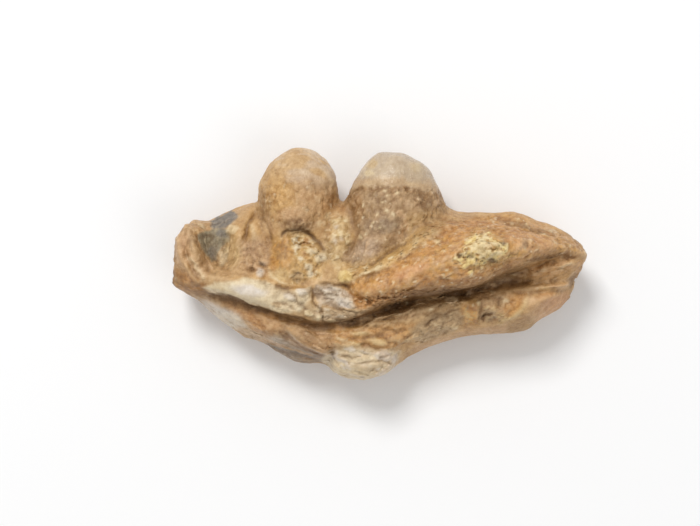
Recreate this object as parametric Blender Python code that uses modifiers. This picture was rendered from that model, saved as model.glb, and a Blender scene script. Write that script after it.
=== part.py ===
"""A section of a fossil lizard's lower jaw with two blunt teeth, lying on its outer face.

Bone, teeth and the sediment in their hollows have turned to stone together, so the fossil is one solid.
The jaw runs along X and the tooth tips point along +Y. Its inner face, with the long groove, looks up.
Left and right are those of somebody who looks down on it with the teeth at the top.
Shapes are worked out in millimetres and brought to metres at the end.
"""

import bmesh
import bpy
import numpy as np
from mathutils import Euler, Matrix, Vector, noise

MM = 0.001
STONE = {"Base Color": (0.52, 0.34, 0.17, 1), "Roughness": 0.6, "Metallic": 0.0}

# Driving dimensions of the bone
LEFT_END = -6.88
RIGHT_END = 7.0
OUTER_BULGE = 0.3  # how far the outer face swells past the plane that it is worn down to
OUTER_RISE_FROM = 5.0  # beyond this distance from the middle the outer face rises to the bone's two ends
END_RISE = 0.75  # how far it rises there, as a share of the height of the bone's edge

# Lines along the bone, each drawn by a few (x, y, z) points from left to right. In this order they go from
# the tooth row over the inner face down to the lower edge. The outer face comes from the first and the last.
TOOTH_ROW_EDGE = [
    (-6.9, 0.85, 1.6), (-6.6, 1.15, 1.5), (-6.25, 1.60, 1.35), (-5.85, 1.50, 1.2), (-5.1, 1.84, 1.2),
    (-4.1, 2.18, 1.3), (-2.7, 2.00, 1.4), (-1.25, 1.86, 1.8), (0.6, 1.95, 1.5), (2.3, 1.90, 1.5),
    (2.75, 1.78, 1.6), (3.5, 1.80, 1.7), (4.5, 1.78, 1.8), (5.2, 1.54, 1.9), (5.9, 1.26, 1.9),
    (6.6, 0.88, 1.9), (7.0, 0.45, 1.9),
]
UPPER_FACE = [
    (-6.9, 0.70, 2.4), (-6.25, 1.20, 2.5), (-5.5, 1.25, 2.1), (-4.3, 1.60, 2.3), (-2.7, 1.50, 2.4),
    (-1.2, 1.45, 2.7), (0.6, 1.50, 2.5), (2.5, 1.50, 2.6), (4.5, 1.42, 2.8), (5.9, 1.00, 2.7),
    (7.0, 0.38, 2.4),
]
TOOTH_SHELF = [
    (-6.9, 0.20, 2.6), (-6.2, 0.40, 2.8), (-5.3, 0.40, 2.6), (-4.3, 0.30, 2.8), (-2.7, 0.20, 2.8),
    (-1.2, 0.20, 2.9), (0.3, 0.45, 3.1), (1.6, 0.80, 3.5), (3.2, 1.00, 3.8), (4.5, 0.98, 3.8),
    (5.9, 0.75, 3.3), (7.0, 0.30, 2.6),
]
RIDGE_CREST = [
    (-6.9, -0.25, 2.5), (-6.0, -0.50, 3.0), (-5.0, -0.72, 3.3), (-4.0, -0.88, 3.4), (-2.6, -1.05, 3.4),
    (-1.5, -1.20, 3.3), (-0.8, -0.95, 3.6), (0.6, -0.45, 4.2), (2.0, 0.10, 4.5), (3.5, 0.45, 4.5),
    (5.0, 0.60, 4.1), (6.2, 0.52, 3.4), (7.0, 0.22, 2.6),
]
UPPER_LIP = [
    (-6.9, -0.45, 2.4), (-6.3, -0.74, 2.8), (-5.8, -0.86, 3.0), (-4.9, -1.06, 3.1), (-4.0, -1.32, 3.1),
    (-3.1, -1.62, 3.1), (-2.0, -1.90, 3.0), (-1.1, -1.80, 3.1), (0.2, -1.22, 3.7), (1.2, -1.02, 3.8),
    (2.5, -0.80, 3.8), (3.4, -0.56, 3.8), (4.3, -0.18, 3.7), (5.2, 0.12, 3.5), (6.1, 0.32, 3.0),
    (7.0, 0.18, 2.4),
]
GROOVE_FLOOR = [
    (-6.9, -0.55, 2.1), (-6.3, -0.92, 2.2), (-5.2, -1.22, 2.2), (-4.4, -1.42, 2.1), (-3.6, -1.70, 2.0),
    (-2.8, -1.95, 2.0), (-2.0, -2.08, 2.0), (-1.1, -2.02, 2.0), (0.2, -1.54, 2.0), (1.2, -1.22, 2.0),
    (2.5, -0.98, 2.0), (3.4, -0.78, 2.1), (4.3, -0.42, 2.3), (5.2, -0.10, 2.5), (6.1, 0.12, 2.6),
    (7.0, 0.10, 2.3),
]
LOWER_LIP = [
    (-6.9, -0.62, 2.0), (-6.3, -1.00, 2.1), (-5.0, -1.44, 2.6), (-4.0, -1.72, 2.7), (-3.2, -2.00, 2.8),
    (-2.0, -2.28, 2.8), (-1.1, -2.26, 2.9), (0.2, -1.88, 2.8), (1.2, -1.56, 2.8), (2.5, -1.30, 2.8),
    (3.4, -1.16, 2.8), (4.3, -1.00, 2.8), (5.2, -0.90, 2.8), (6.1, -0.72, 2.6), (7.0, 0.05, 2.1),
]
LOWER_FACE = [
    (-6.9, -0.66, 1.8), (-6.3, -1.04, 1.9), (-5.0, -1.74, 2.2), (-4.2, -2.05, 2.4), (-3.3, -2.45, 2.5),
    (-2.4, -2.75, 2.5), (-1.5, -2.98, 2.7), (-0.7, -3.15, 2.8), (0.4, -2.80, 2.7), (0.9, -2.48, 2.6),
    (2.6, -1.92, 2.6), (4.3, -1.68, 2.6), (5.2, -1.50, 2.5), (6.1, -1.05, 2.3), (7.0, 0.00, 1.9),
]
LOWER_EDGE = [
    (-6.9, -0.68, 1.5), (-6.3, -0.98, 1.4), (-5.8, -1.50, 1.35), (-5.3, -2.00, 1.3), (-4.6, -2.38, 1.3),
    (-3.9, -2.70, 1.3), (-3.3, -3.12, 1.3), (-2.6, -3.38, 1.3), (-1.85, -3.36, 1.4), (-1.55, -3.66, 1.5),
    (-0.95, -3.94, 1.6), (-0.2, -3.92, 1.6), (0.4, -3.64, 1.5), (0.9, -3.28, 1.4), (1.45, -2.96, 1.4),
    (2.1, -2.65, 1.4), (3.05, -2.47, 1.4), (4.3, -2.34, 1.4), (5.05, -2.28, 1.4), (5.5, -1.92, 1.4),
    (6.2, -1.54, 1.4), (6.62, -1.10, 1.5), (6.68, -0.62, 1.6), (6.85, -0.38, 1.7), (7.0, -0.10, 1.7),
]
INNER_FACE = [
    TOOTH_ROW_EDGE, UPPER_FACE, TOOTH_SHELF, RIDGE_CREST, UPPER_LIP,
    GROOVE_FLOOR, LOWER_LIP, LOWER_FACE, LOWER_EDGE,
]
# The outer face, from the lower edge back to the tooth row: (share of the way across, height)
OUTER_FACE = [(0.10, 0.55), (0.28, 0.02), (0.50, -OUTER_BULGE), (0.72, 0.0), (0.90, 0.6)]

# The teeth, from inside the bone up to their tips: (y, left x, right x, back z, front z)
LEFT_TOOTH = [
    (0.3, -3.40, -1.90, 1.2, 2.7), (1.2, -3.78, -1.50, 0.8, 3.0), (2.0, -4.08, -1.36, 0.65, 3.05),
    (2.55, -4.05, -1.34, 0.65, 3.05), (3.0, -3.87, -1.44, 0.75, 2.95), (3.42, -3.62, -1.66, 0.95, 2.75),
    (3.74, -3.22, -2.05, 1.25, 2.45), (3.90, -2.95, -2.45, 1.65, 2.05),
]
RIGHT_TOOTH = [
    (-0.45, -1.15, -0.35, 1.8, 2.9), (0.2, -1.12, 0.70, 1.2, 3.2), (1.0, -1.05, 1.35, 0.8, 3.3),
    (1.9, -1.20, 2.30, 0.6, 3.25), (2.35, -1.04, 2.10, 0.6, 3.15), (2.8, -0.82, 1.90, 0.65, 3.05),
    (3.28, -0.55, 1.68, 0.85, 2.85), (3.56, -0.30, 1.18, 1.1, 2.6), (3.76, 0.05, 0.75, 1.5, 2.2),
]

# Rounded masses that stand on the bone: (name, centre, radii, turn about Z in degrees)
MASSES = [
    ("pillar between the teeth", (-1.25, 0.78, 1.90), (0.78, 1.22, 1.05), 0),
    ("bone below the pillar", (-1.25, -0.20, 2.45), (0.85, 0.80, 0.72), 0),
    ("point of the broken end", (-6.55, -0.52, 2.05), (0.46, 0.26, 0.55), 10),
    ("splinter of the broken end", (-6.12, 0.35, 2.35), (0.26, 1.10, 0.85), 20),
    ("bump on the lower edge", (-0.55, -3.10, 1.75), (1.18, 0.80, 1.12), 0),
]
# Hollows sunk into it, and the two lumps that fill the first of them, with the same four values
HOLLOWS = [
    ("pit below the left tooth", (-2.62, 0.20, 3.15), (1.00, 1.02, 1.00), 0),
    ("broken tooth place", (-5.36, 0.95, 3.00), (0.66, 1.15, 0.92), 12),
]
PIT_FILLINGS = [
    ("ochre half of the filling", (-3.05, -0.10, 2.45), (0.60, 0.98, 0.74), -8),
    ("crumbly half of the filling", (-2.30, -0.15, 2.42), (0.82, 1.04, 0.72), 14),
]

# Lines pressed into the inner face or raised on it: (points, width, height). Below zero is a cut.
INNER_LINES = [
    # the seam where the left tooth meets the bone beside it, and the crease left of that
    ([(-4.05, 1.85), (-3.92, 1.20), (-3.60, 0.75)], 0.14, -0.18),
    ([(-4.12, 1.75), (-4.40, 1.30), (-4.50, 0.80)], 0.10, -0.14),
    # the second crest of the broken end, and the crease between it and the splinter
    ([(-6.62, 0.95), (-6.50, 0.20), (-6.05, -0.50)], 0.15, 0.20),
    ([(-6.42, 1.00), (-6.28, 0.20), (-5.85, -0.40)], 0.11, -0.24),
    # the curved lip below the broken tooth place
    ([(-5.75, -0.35), (-5.20, -0.56), (-4.50, -0.60)], 0.16, 0.18),
    # the crease on the left of the right tooth
    ([(-0.88, 1.75), (-0.94, 0.95), (-1.10, 0.10)], 0.13, -0.12),
    # the lower edge of the enamel on the right tooth
    ([(-0.85, 2.45), (0.00, 2.60), (0.90, 2.55), (1.95, 2.38)], 0.12, -0.08),
    # the flaky yellow edge between the right tooth and the big ridge
    ([(2.25, 1.30), (1.55, 0.90), (0.75, 0.32), (-0.10, -0.14), (-1.10, -0.42)], 0.15, 0.22),
    # the long dent on the big ridge's upper side
    ([(3.90, 1.42), (4.70, 1.25), (5.60, 0.98)], 0.15, -0.20),
    # the low rib inside the groove at the right end, and the second, lower groove with its thin ridge
    ([(5.20, -0.22), (5.90, -0.04), (6.60, 0.05)], 0.13, 0.26),
    ([(4.40, -0.70), (5.30, -0.60), (6.65, -0.52)], 0.13, -0.30),
    ([(5.50, -0.76), (6.45, -0.70)], 0.10, 0.16),
    ([(4.60, -0.98), (6.40, -0.90)], 0.10, -0.16),
    # the brown layered edge in the middle of the groove
    ([(-0.60, -1.85), (0.60, -1.62), (1.80, -1.32), (2.90, -1.22)], 0.12, 0.18),
    # the foot of the left end of the big ridge
    ([(-1.08, -0.72), (-0.90, -1.05), (-0.35, -1.22)], 0.13, -0.34),
    # the crack on the left of the grey patch
    ([(-2.22, -0.80), (-2.18, -1.25), (-1.90, -1.50)], 0.10, -0.20),
    # the break on the left of the lower bump, and the layers across it
    ([(-1.50, -2.80), (-1.62, -3.15), (-1.72, -3.60)], 0.12, -0.30),
    ([(-1.20, -2.85), (-0.55, -2.95), (0.15, -3.20)], 0.09, -0.14),
    ([(-1.25, -3.30), (-0.75, -3.28), (-0.20, -3.45)], 0.09, -0.12),
    ([(-0.60, -2.62), (0.05, -2.86), (0.70, -2.90)], 0.09, -0.12),
]
# Raised and sunken areas of the inner face: (centre, radii, turn in degrees, softness of the edge, height)
INNER_AREAS = [
    # the pitted crust on the big ridge, lump by lump, and its pits
    ((3.50, 0.72), (0.58, 0.34), -8, 0.40, 0.16),
    ((3.80, 0.34), (0.50, 0.42), -20, 0.45, 0.15),
    ((3.15, 0.30), (0.58, 0.42), 12, 0.45, 0.15),
    ((2.70, 0.22), (0.36, 0.30), 0, 0.60, 0.12),
    ((2.66, 0.30), (0.22, 0.20), 0, 1.0, -0.18),
    ((2.98, 0.20), (0.22, 0.20), 0, 1.0, -0.20),
    ((3.66, 0.04), (0.26, 0.20), 0, 1.0, -0.20),
    # the layered grey patch below the left end of the big ridge
    ((-1.62, -1.06), (0.72, 0.42), -8, 0.4, -0.14),
    ((-1.45, -1.62), (0.68, 0.34), 10, 0.4, -0.12),
    # the plate below the groove and the smaller one on its left
    ((-2.30, -2.62), (0.95, 0.40), -38, 0.30, 0.20),
    ((-3.45, -2.38), (0.60, 0.28), -28, 0.40, 0.12),
    # the worn flat and the small deep hole in the lower edge's right half
    ((2.20, -1.95), (0.80, 0.40), 12, 0.5, -0.14),
    ((3.62, -1.72), (0.28, 0.26), 0, 1.0, -0.34),
    # the smooth swelling at the lower right
    ((5.60, -1.42), (0.98, 0.48), 20, 0.4, 0.16),
    # the lump left of the pit, and the two small holes beside it
    ((-3.95, -0.34), (0.28, 0.22), 0, 0.8, 0.14),
    ((-4.26, -0.20), (0.20, 0.18), 0, 1.0, -0.18),
    ((-3.90, -0.05), (0.30, 0.14), 0, 1.0, -0.16),
]
# Nerve openings in the outer face, below the tooth row, and two long dents, with the same five values
OUTER_AREAS = [
    ((-4.70, 0.70), (0.26, 0.20), 0, 1.0, -0.34),
    ((-1.20, 0.80), (0.30, 0.22), 10, 1.0, -0.38),
    ((2.60, 0.72), (0.26, 0.18), -8, 1.0, -0.32),
    ((0.60, -2.00), (1.70, 0.30), 4, 0.8, -0.14),
    ((-3.60, -1.55), (1.10, 0.26), -22, 0.8, -0.12),
]
GRAIN = [(1.6, 0.10), (0.6, 0.05)]  # size and height of the unevenness of the bone

# Fineness of the shapes while they are worked on
STATION_STEP = 0.15
TOOTH_STEP = 0.15
SAMPLES_PER_LINE = 4
TOOTH_SIDES = 28
SPHERE_SEGMENTS = 28
SPHERE_RINGS = 18
VOXEL = 0.11
SMOOTH_STEPS = 3
TRIANGLES = 9400
SHARP_ANGLE = 50
# How fast the lines and areas fade as the surface turns away from their side, and what is left on a side wall
FACING_SLOPE = 2.0
FACING_REST = 0.5


def smooth_rows(rows, places):
    """Each row starts with a place; gives the rest of the row at any places, smooth and with no overshoot."""
    known, values = np.array(rows)[:, 0], np.array(rows)[:, 1:]
    run = np.diff(known)[:, None]
    slope = np.diff(values, axis=0) / run
    product, total = slope[:-1] * slope[1:], slope[:-1] + slope[1:]
    turning = product <= 0
    inner = np.where(turning, 0.0, 2 * product / np.where(turning, 1.0, total))
    tangent = np.vstack([slope[:1], inner, slope[-1:]])
    span = np.clip(np.searchsorted(known, places, side="right") - 1, 0, len(known) - 2)
    t = ((places - known[span]) / (known[span + 1] - known[span]))[:, None]
    return (
        values[span] * (1 + 2 * t) * (1 - t) ** 2
        + values[span + 1] * t**2 * (3 - 2 * t)
        + tangent[span] * run[span] * t * (1 - t) ** 2
        - tangent[span + 1] * run[span] * t**2 * (1 - t)
    )


def evenly(start, end, step):
    return np.linspace(start, end, round((end - start) / step) + 1)


def closed_ring(corners):
    """A closed Catmull-Rom curve through the corners of one cross-section."""
    before, after, beyond = (np.roll(corners, shift, axis=0) for shift in (1, -1, -2))
    ring = []
    for step in range(SAMPLES_PER_LINE):
        t = step / SAMPLES_PER_LINE
        ring.append(
            corners
            + (after - before) * t / 2
            + (2 * before - 5 * corners + 4 * after - beyond) * t**2 / 2
            + (3 * corners - before - 3 * after + beyond) * t**3 / 2
        )
    return np.stack(ring, axis=1).reshape(-1, 2)


def bone_rings():
    """The bone's cross-sections from its left end to its right end, as rings of points."""
    xs = evenly(LEFT_END, RIGHT_END, STATION_STEP)
    lines = [smooth_rows(line, xs) for line in INNER_FACE]
    top, bottom = lines[0], lines[-1]
    reach = np.clip((np.abs(xs) - OUTER_RISE_FROM) / (RIGHT_END - OUTER_RISE_FROM), 0, 1) ** 2
    for share, height in OUTER_FACE:
        edge = bottom + share * (top - bottom)
        z = height + (END_RISE * edge[:, 1] - height) * reach
        lines.append(np.stack([edge[:, 0], z], axis=1))
    sections = np.stack(lines, axis=1)
    return [[(x, y, z) for y, z in closed_ring(corners)] for x, corners in zip(xs, sections)]


def tooth_rings(rows):
    """A tooth's oval cross-sections from its root to its tip."""
    ys = evenly(rows[0][0], rows[-1][0], TOOTH_STEP)
    turn = np.linspace(0, 2 * np.pi, TOOTH_SIDES, endpoint=False)
    rings = []
    for y, (left, right, back, front) in zip(ys, smooth_rows(rows, ys)):
        x = (left + right) / 2 + (right - left) / 2 * np.cos(turn)
        z = (back + front) / 2 + (front - back) / 2 * np.sin(turn)
        rings.append([(px, y, pz) for px, pz in zip(x, z)])
    return rings


def helper_object(collection, name, bm):
    """An object that helps to shape the fossil and isn't a piece of its own."""
    mesh = bpy.data.meshes.new(name)
    bm.to_mesh(mesh)
    bm.free()
    obj = bpy.data.objects.new(name, mesh)
    obj.hide_render = True
    obj.display_type = "WIRE"
    collection.objects.link(obj)
    return obj


def lofted(collection, name, rings):
    """A closed body through a row of rings that have the same number of points."""
    bm = bmesh.new()
    loops = [[bm.verts.new(point) for point in ring] for ring in rings]
    for loop, following in zip(loops, loops[1:]):
        for i, vertex in enumerate(loop):
            bm.faces.new((vertex, loop[i - 1], following[i - 1], following[i]))
    bm.faces.new(loops[0])
    bm.faces.new(reversed(loops[-1]))
    bmesh.ops.recalc_face_normals(bm, faces=bm.faces)
    return helper_object(collection, name, bm)


def rounded_mass(collection, name, centre, radii, turn):
    bm = bmesh.new()
    bmesh.ops.create_uvsphere(bm, u_segments=SPHERE_SEGMENTS, v_segments=SPHERE_RINGS, radius=1)
    place = Matrix.Translation(centre) @ Euler((0, 0, np.radians(turn))).to_matrix().to_4x4()
    bm.transform(place @ Matrix.Diagonal((*radii, 1)))
    return helper_object(collection, name, bm)


def ground_block(collection):
    """A block whose top is the plane that the outer face is worn down to."""
    side = 2 * (RIGHT_END - LEFT_END)
    bm = bmesh.new()
    bmesh.ops.create_cube(bm, size=side)
    bm.transform(Matrix.Translation((0, 0, -side / 2)))
    return helper_object(collection, "below the plane of rest", bm)


def add_boolean(obj, other, operation):
    modifier = obj.modifiers.new(f"{operation.lower()} {other.name}", "BOOLEAN")
    modifier.operation = operation
    modifier.object = other


def evaluated_mesh(obj):
    """The object's mesh with all of its modifiers applied."""
    return bpy.data.meshes.new_from_object(obj.evaluated_get(bpy.context.evaluated_depsgraph_get()))


def distance_to_line(points, line):
    """How far each (x, y) point is from a line of straight runs."""
    nearest = np.full(len(points), np.inf)
    for start, end in zip(line, line[1:]):
        run = np.subtract(end, start)
        share = np.clip((points - start) @ run / (run @ run), 0, 1)
        nearest = np.minimum(nearest, np.linalg.norm(points - start - share[:, None] * run, axis=1))
    return nearest


def area_rise(points, centre, radii, turn, softness, height):
    """An oval area's rise at each (x, y) point: full inside, none outside, with a soft edge between."""
    angle = np.radians(turn)
    along, across = np.cos(angle), np.sin(angle)
    x, y = (points - centre).T
    reach = np.hypot((x * along + y * across) / radii[0], (y * along - x * across) / radii[1])
    share = np.clip((1 - reach) / softness, 0, 1)
    return height * share**2 * (3 - 2 * share)


def carve(mesh):
    """Works the lines and areas into the two faces and gives the whole fossil its uneven surface."""
    at = np.array([v.co for v in mesh.vertices])
    out = np.array([v.normal for v in mesh.vertices])
    flat = at[:, :2]
    inner = np.zeros(len(at))
    for line, width, height in INNER_LINES:
        inner += height * np.exp(-((distance_to_line(flat, line) / width) ** 2))
    for area in INNER_AREAS:
        inner += area_rise(flat, *area)
    outer = sum(area_rise(flat, *area) for area in OUTER_AREAS)
    grain = sum(height * np.array([noise.noise(Vector(p / size)) for p in at]) for size, height in GRAIN)
    moved = at + out * grain[:, None]
    moved[:, 2] += inner * np.clip(FACING_REST + out[:, 2] * FACING_SLOPE, 0, 1)
    moved[:, 2] -= outer * np.clip(FACING_REST - out[:, 2] * FACING_SLOPE, 0, 1)
    mesh.vertices.foreach_set("co", moved.ravel())
    mesh.update()


def stone_material():
    material = bpy.data.materials.new("fossil_bone")
    material.use_nodes = True
    surface = material.node_tree.nodes["Principled BSDF"]
    for name, value in STONE.items():
        surface.inputs[name].default_value = value
    return material


def new_collection(name):
    collection = bpy.data.collections.new(name)
    bpy.context.scene.collection.children.link(collection)
    return collection


def shaped_fossil(helpers):
    """Bone, teeth and filling joined in one skin, hollowed and carved, with a plane to lie on."""
    bone = lofted(helpers, "bone", bone_rings())
    add_boolean(bone, lofted(helpers, "left tooth", tooth_rings(LEFT_TOOTH)), "UNION")
    add_boolean(bone, lofted(helpers, "right tooth", tooth_rings(RIGHT_TOOTH)), "UNION")
    for mass in MASSES:
        add_boolean(bone, rounded_mass(helpers, *mass), "UNION")
    for hollow in HOLLOWS:
        add_boolean(bone, rounded_mass(helpers, *hollow), "DIFFERENCE")
    for filling in PIT_FILLINGS:
        add_boolean(bone, rounded_mass(helpers, *filling), "UNION")
    skin = bone.modifiers.new("one skin", "REMESH")
    skin.mode = "VOXEL"
    skin.voxel_size = VOXEL
    worn = bone.modifiers.new("worn edges", "SMOOTH")
    worn.iterations = SMOOTH_STEPS

    carved_mesh = evaluated_mesh(bone)
    carve(carved_mesh)
    carved = bpy.data.objects.new("carved fossil", carved_mesh)
    carved.hide_render = True
    carved.display_type = "WIRE"
    helpers.objects.link(carved)
    fewer = carved.modifiers.new("fewer faces", "DECIMATE")
    fewer.ratio = TRIANGLES / (2 * len(carved_mesh.polygons))
    add_boolean(carved, ground_block(helpers), "DIFFERENCE")
    return evaluated_mesh(carved)


def build():
    for obj in list(bpy.data.objects):
        bpy.data.objects.remove(obj, do_unlink=True)
    helpers = new_collection("helpers")
    fossil = new_collection("fossil lizard jaw section")

    mesh = shaped_fossil(helpers)
    at = np.array([v.co for v in mesh.vertices])
    low, high = at.min(axis=0), at.max(axis=0)
    middle = (low + high) / 2
    mesh.transform(Matrix.Scale(MM, 4) @ Matrix.Translation((-middle[0], -middle[1], -low[2])))
    mesh.shade_smooth()
    mesh.set_sharp_from_angle(angle=np.radians(SHARP_ANGLE))
    mesh.materials.clear()
    mesh.materials.append(stone_material())
    fossil.objects.link(bpy.data.objects.new("jaw_section", mesh))


build()
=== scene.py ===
import bpy
import numpy as np
from mathutils import Matrix, Vector, noise


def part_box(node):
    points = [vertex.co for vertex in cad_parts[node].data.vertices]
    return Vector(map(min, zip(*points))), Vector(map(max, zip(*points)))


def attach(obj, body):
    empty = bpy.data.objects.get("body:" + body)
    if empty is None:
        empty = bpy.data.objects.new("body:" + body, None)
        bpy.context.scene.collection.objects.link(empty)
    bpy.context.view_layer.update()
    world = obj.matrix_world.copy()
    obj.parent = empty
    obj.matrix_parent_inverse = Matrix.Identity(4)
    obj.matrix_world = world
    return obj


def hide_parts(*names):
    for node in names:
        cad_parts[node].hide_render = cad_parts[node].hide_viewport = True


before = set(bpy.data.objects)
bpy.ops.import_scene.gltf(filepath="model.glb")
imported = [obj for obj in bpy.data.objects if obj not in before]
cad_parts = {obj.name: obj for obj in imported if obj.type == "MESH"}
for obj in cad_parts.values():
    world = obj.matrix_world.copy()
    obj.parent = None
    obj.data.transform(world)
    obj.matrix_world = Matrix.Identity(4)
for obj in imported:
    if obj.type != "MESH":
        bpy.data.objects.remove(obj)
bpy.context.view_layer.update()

# The whole jaw section
# One hard body of bone, enamel and sediment that turned to stone together. It takes its form from the frame's
# solid, as a closer skin of points that every section below presses in, raises and stains.
MM = 0.001
GRID = 0.0575  # distance between the skin's points
ROUNDING = 24  # smoothing steps that take the solid's facets away

blank = bpy.data.objects.new("blank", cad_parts["jaw_section"].data.copy())
blank.data.transform(Matrix.Scale(1 / MM, 4))
bpy.context.scene.collection.objects.link(blank)
one_skin = blank.modifiers.new("one skin", "REMESH")
one_skin.mode = "VOXEL"
one_skin.voxel_size = GRID
rounded = blank.modifiers.new("rounded", "SMOOTH")
rounded.iterations = ROUNDING
skin = bpy.data.meshes.new_from_object(blank.evaluated_get(bpy.context.evaluated_depsgraph_get()))
bpy.data.objects.remove(blank)


def read(values, name, width):
    """One property of all points or edges, as rows of numbers."""
    kind = int if name == "vertices" else float
    row = np.empty(len(values) * width, kind)
    values.foreach_get(name, row)
    return row.reshape(-1, width)


at = read(skin.vertices, "co", 3)
out = read(skin.vertices, "normal", 3)
count = len(at)
x_at, y_at, z_at = at.T


def ramp(values, start, end):
    """0 before start, 1 past end, and a soft rise between."""
    share = np.clip((values - start) / (end - start), 0, 1)
    return share * share * (3 - 2 * share)


def turned(size, seed, stretch, turn):
    """The points' places counted in lumps of that size, which are stretched along a turned axis."""
    angle = np.radians(turn)
    axes = np.array([[np.cos(angle), -np.sin(angle), 0], [np.sin(angle), np.cos(angle), 0], [0, 0, 1]])
    return at @ axes / np.array(stretch) / size + 17.3 * seed


def clouds(size, seed, octaves=1, stretch=(1, 1, 1), turn=0.0):
    """Soft noise over all points, about -1 to 1, with lumps of that size."""
    places = turned(size, seed, stretch, turn).tolist()
    if octaves == 1:
        return np.array([noise.noise(place) for place in places])
    return np.array([noise.fractal(place, 0.8, 2.0, octaves) for place in places])


swell = np.zeros(count)  # how far each point moves straight out of the skin


class Mineral:
    """One kind of stone: its pale and its deep colour, its roughness and its share of each point."""

    kinds = []

    def __init__(self, name, pale, deep, rough):
        self.name = name
        self.pale = pale
        self.deep = deep
        self.rough = rough
        self.share = np.zeros(count)
        Mineral.kinds.append(self)

    def cover(self, share):
        """Lays this mineral over whatever is there."""
        share = np.clip(share, 0, 1)
        for kind in Mineral.kinds:
            kind.share *= 1 - share
        self.share += share


# Colours are red, green and blue from 0 to 255, as a picture gives them
tan = Mineral("tan", (206, 168, 118), (168, 126, 76), 0.56)
ochre = Mineral("ochre", (212, 164, 92), (176, 124, 56), 0.52)
brown = Mineral("brown", (152, 112, 68), (110, 76, 40), 0.62)

tan.share += 1
ochre.cover(0.55 * ramp(clouds(1.9, 51, 3), -0.1, 0.5))
brown.cover(0.4 * ramp(clouds(1.3, 52, 3), 0.15, 0.7))

swell += 0.03 * clouds(0.9, 61, 2) + 0.016 * clouds(0.28, 62, 2)

# The broken left end
# The jaw snapped here through the place of a lost tooth: two upright splinters of bone with creases between
# them, and behind them a hollow with a grey stain of metal oxide on its floor.

# Lines and patches are drawn on a plan of the jaw whose places wander a little, so that no edge is ruled
WANDER = [(0.55, 0.085), (0.16, 0.035)]  # size and reach of the wandering
SIDE_WANDER = 0.9  # its size and reach on the steep sides, so that no mark runs straight down them
plan = at[:, :2].copy()
for step, (size, reach) in enumerate(WANDER):
    plan += reach * np.stack([clouds(size, 31 + step), clouds(size, 41 + step)], axis=1)
on_the_sides = SIDE_WANDER * ramp(z_at, 1.8, 0.8)[:, None]
plan += on_the_sides * np.stack([clouds(SIDE_WANDER, 35, 3), clouds(SIDE_WANDER, 45, 3)], axis=1)

upper = ramp(z_at + 0.35 * clouds(0.5, 3, 3), 0.45, 1.35)  # how far the inner face's marks reach down
lift = np.zeros(count)  # how far each point moves along Z


def along(line):
    """How far each point is from a line, on which side (left is above zero), and how far along, 0 to 1."""
    nearest = np.full(count, np.inf)
    side = np.zeros(count)
    share = np.zeros(count)
    runs = [np.subtract(end, start) for start, end in zip(line, line[1:])]
    whole = sum(np.hypot(*run) for run in runs)
    passed = 0
    for start, run in zip(line, runs):
        length = np.hypot(*run)
        t = np.clip((plan - start) @ run / length**2, 0, 1)
        gap = plan - start - t[:, None] * run
        far = np.hypot(gap[:, 0], gap[:, 1])
        closer = far < nearest
        nearest = np.where(closer, far, nearest)
        side = np.where(closer, np.sign(run[0] * gap[:, 1] - run[1] * gap[:, 0]), side)
        share = np.where(closer, (passed + t * length) / whole, share)
        passed += length
    return nearest, side, share


def stroke(line, width):
    """A soft line that thins out towards its two ends, as a share of each point."""
    far, side, share = along(line)
    return np.exp(-((far / width) ** 2)) * ramp(np.minimum(share, 1 - share), -0.06, 0.14) * upper


def oval(centre, radii, turn=0, soft=0.6):
    """A patch that is whole inside and fades over the outer share given by soft."""
    angle = np.radians(turn)
    x, y = (plan - centre).T
    reach = np.hypot(
        (x * np.cos(angle) + y * np.sin(angle)) / radii[0],
        (y * np.cos(angle) - x * np.sin(angle)) / radii[1],
    )
    return ramp(1 - reach, 0, soft) * upper


def patch(corners, soft=0.12):
    """A patch inside a ring of corners, with an edge about twice soft wide."""
    ring = list(corners) + [corners[0]]
    far = along(ring)[0]
    inside = np.zeros(count, bool)
    for (x1, y1), (x2, y2) in zip(ring, ring[1:]):
        crosses = (plan[:, 1] < y1) != (plan[:, 1] < y2)
        where = x1 + (plan[:, 1] - y1) / (y2 - y1 + 1e-9) * (x2 - x1)
        inside ^= crosses & (plan[:, 0] < where)
    return ramp(np.where(inside, far, -far), -soft, soft) * upper


noise.seed_set(1)  # else noise_vector starts from the clock, and each run breaks up into other crumbs


def crumbs(zone, size, seed, stretch, turn):
    """Crumbs of about that size with crooked sides. For each point of the zone: 1 at its crumb's middle,
    about 0 between crumbs; a number from 0 to 1 for the whole crumb; and how high its tilt puts the point."""
    chosen = np.nonzero(zone > 0.01)[0]
    places = turned(size, seed, stretch, turn)[chosen]
    places += 0.35 * np.array([noise.noise_vector(place) for place in (places * 1.8).tolist()])
    near = [noise.voronoi(place) for place in places.tolist()]
    middles = np.array([spots[0] for far, spots in near])
    tilts = np.array([noise.cell_vector(spots[0] * 2.3) for far, spots in near]) - 0.5
    values = np.zeros((3, count))
    values[0, chosen] = 1 - np.clip(np.array([far[0] for far, spots in near]) / 0.7, 0, 1) ** 2
    values[1, chosen] = [noise.cell(spots[0] * 3.1) for far, spots in near]
    values[2, chosen] = ((places - middles) * tilts).sum(axis=1)
    return values


def rubble(zone, size, height, seed, stretch=(1, 1, 1), turn=0, layer=lift):
    """Breaks a zone up into large and small crumbs that sit at their own heights and lean their own ways."""
    large = crumbs(zone, size, seed, stretch, turn)
    small = crumbs(zone, 0.5 * size, seed + 0.5, stretch, turn)
    tops, kinds, tilt = 0.62 * large + 0.38 * small
    kinds = 0.5 + 1.35 * (kinds - 0.5)
    layer[:] += height * zone * (0.8 * (kinds - 0.5) + 1.4 * tilt + 0.5 * (tops - 0.6))
    return tops, kinds


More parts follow.
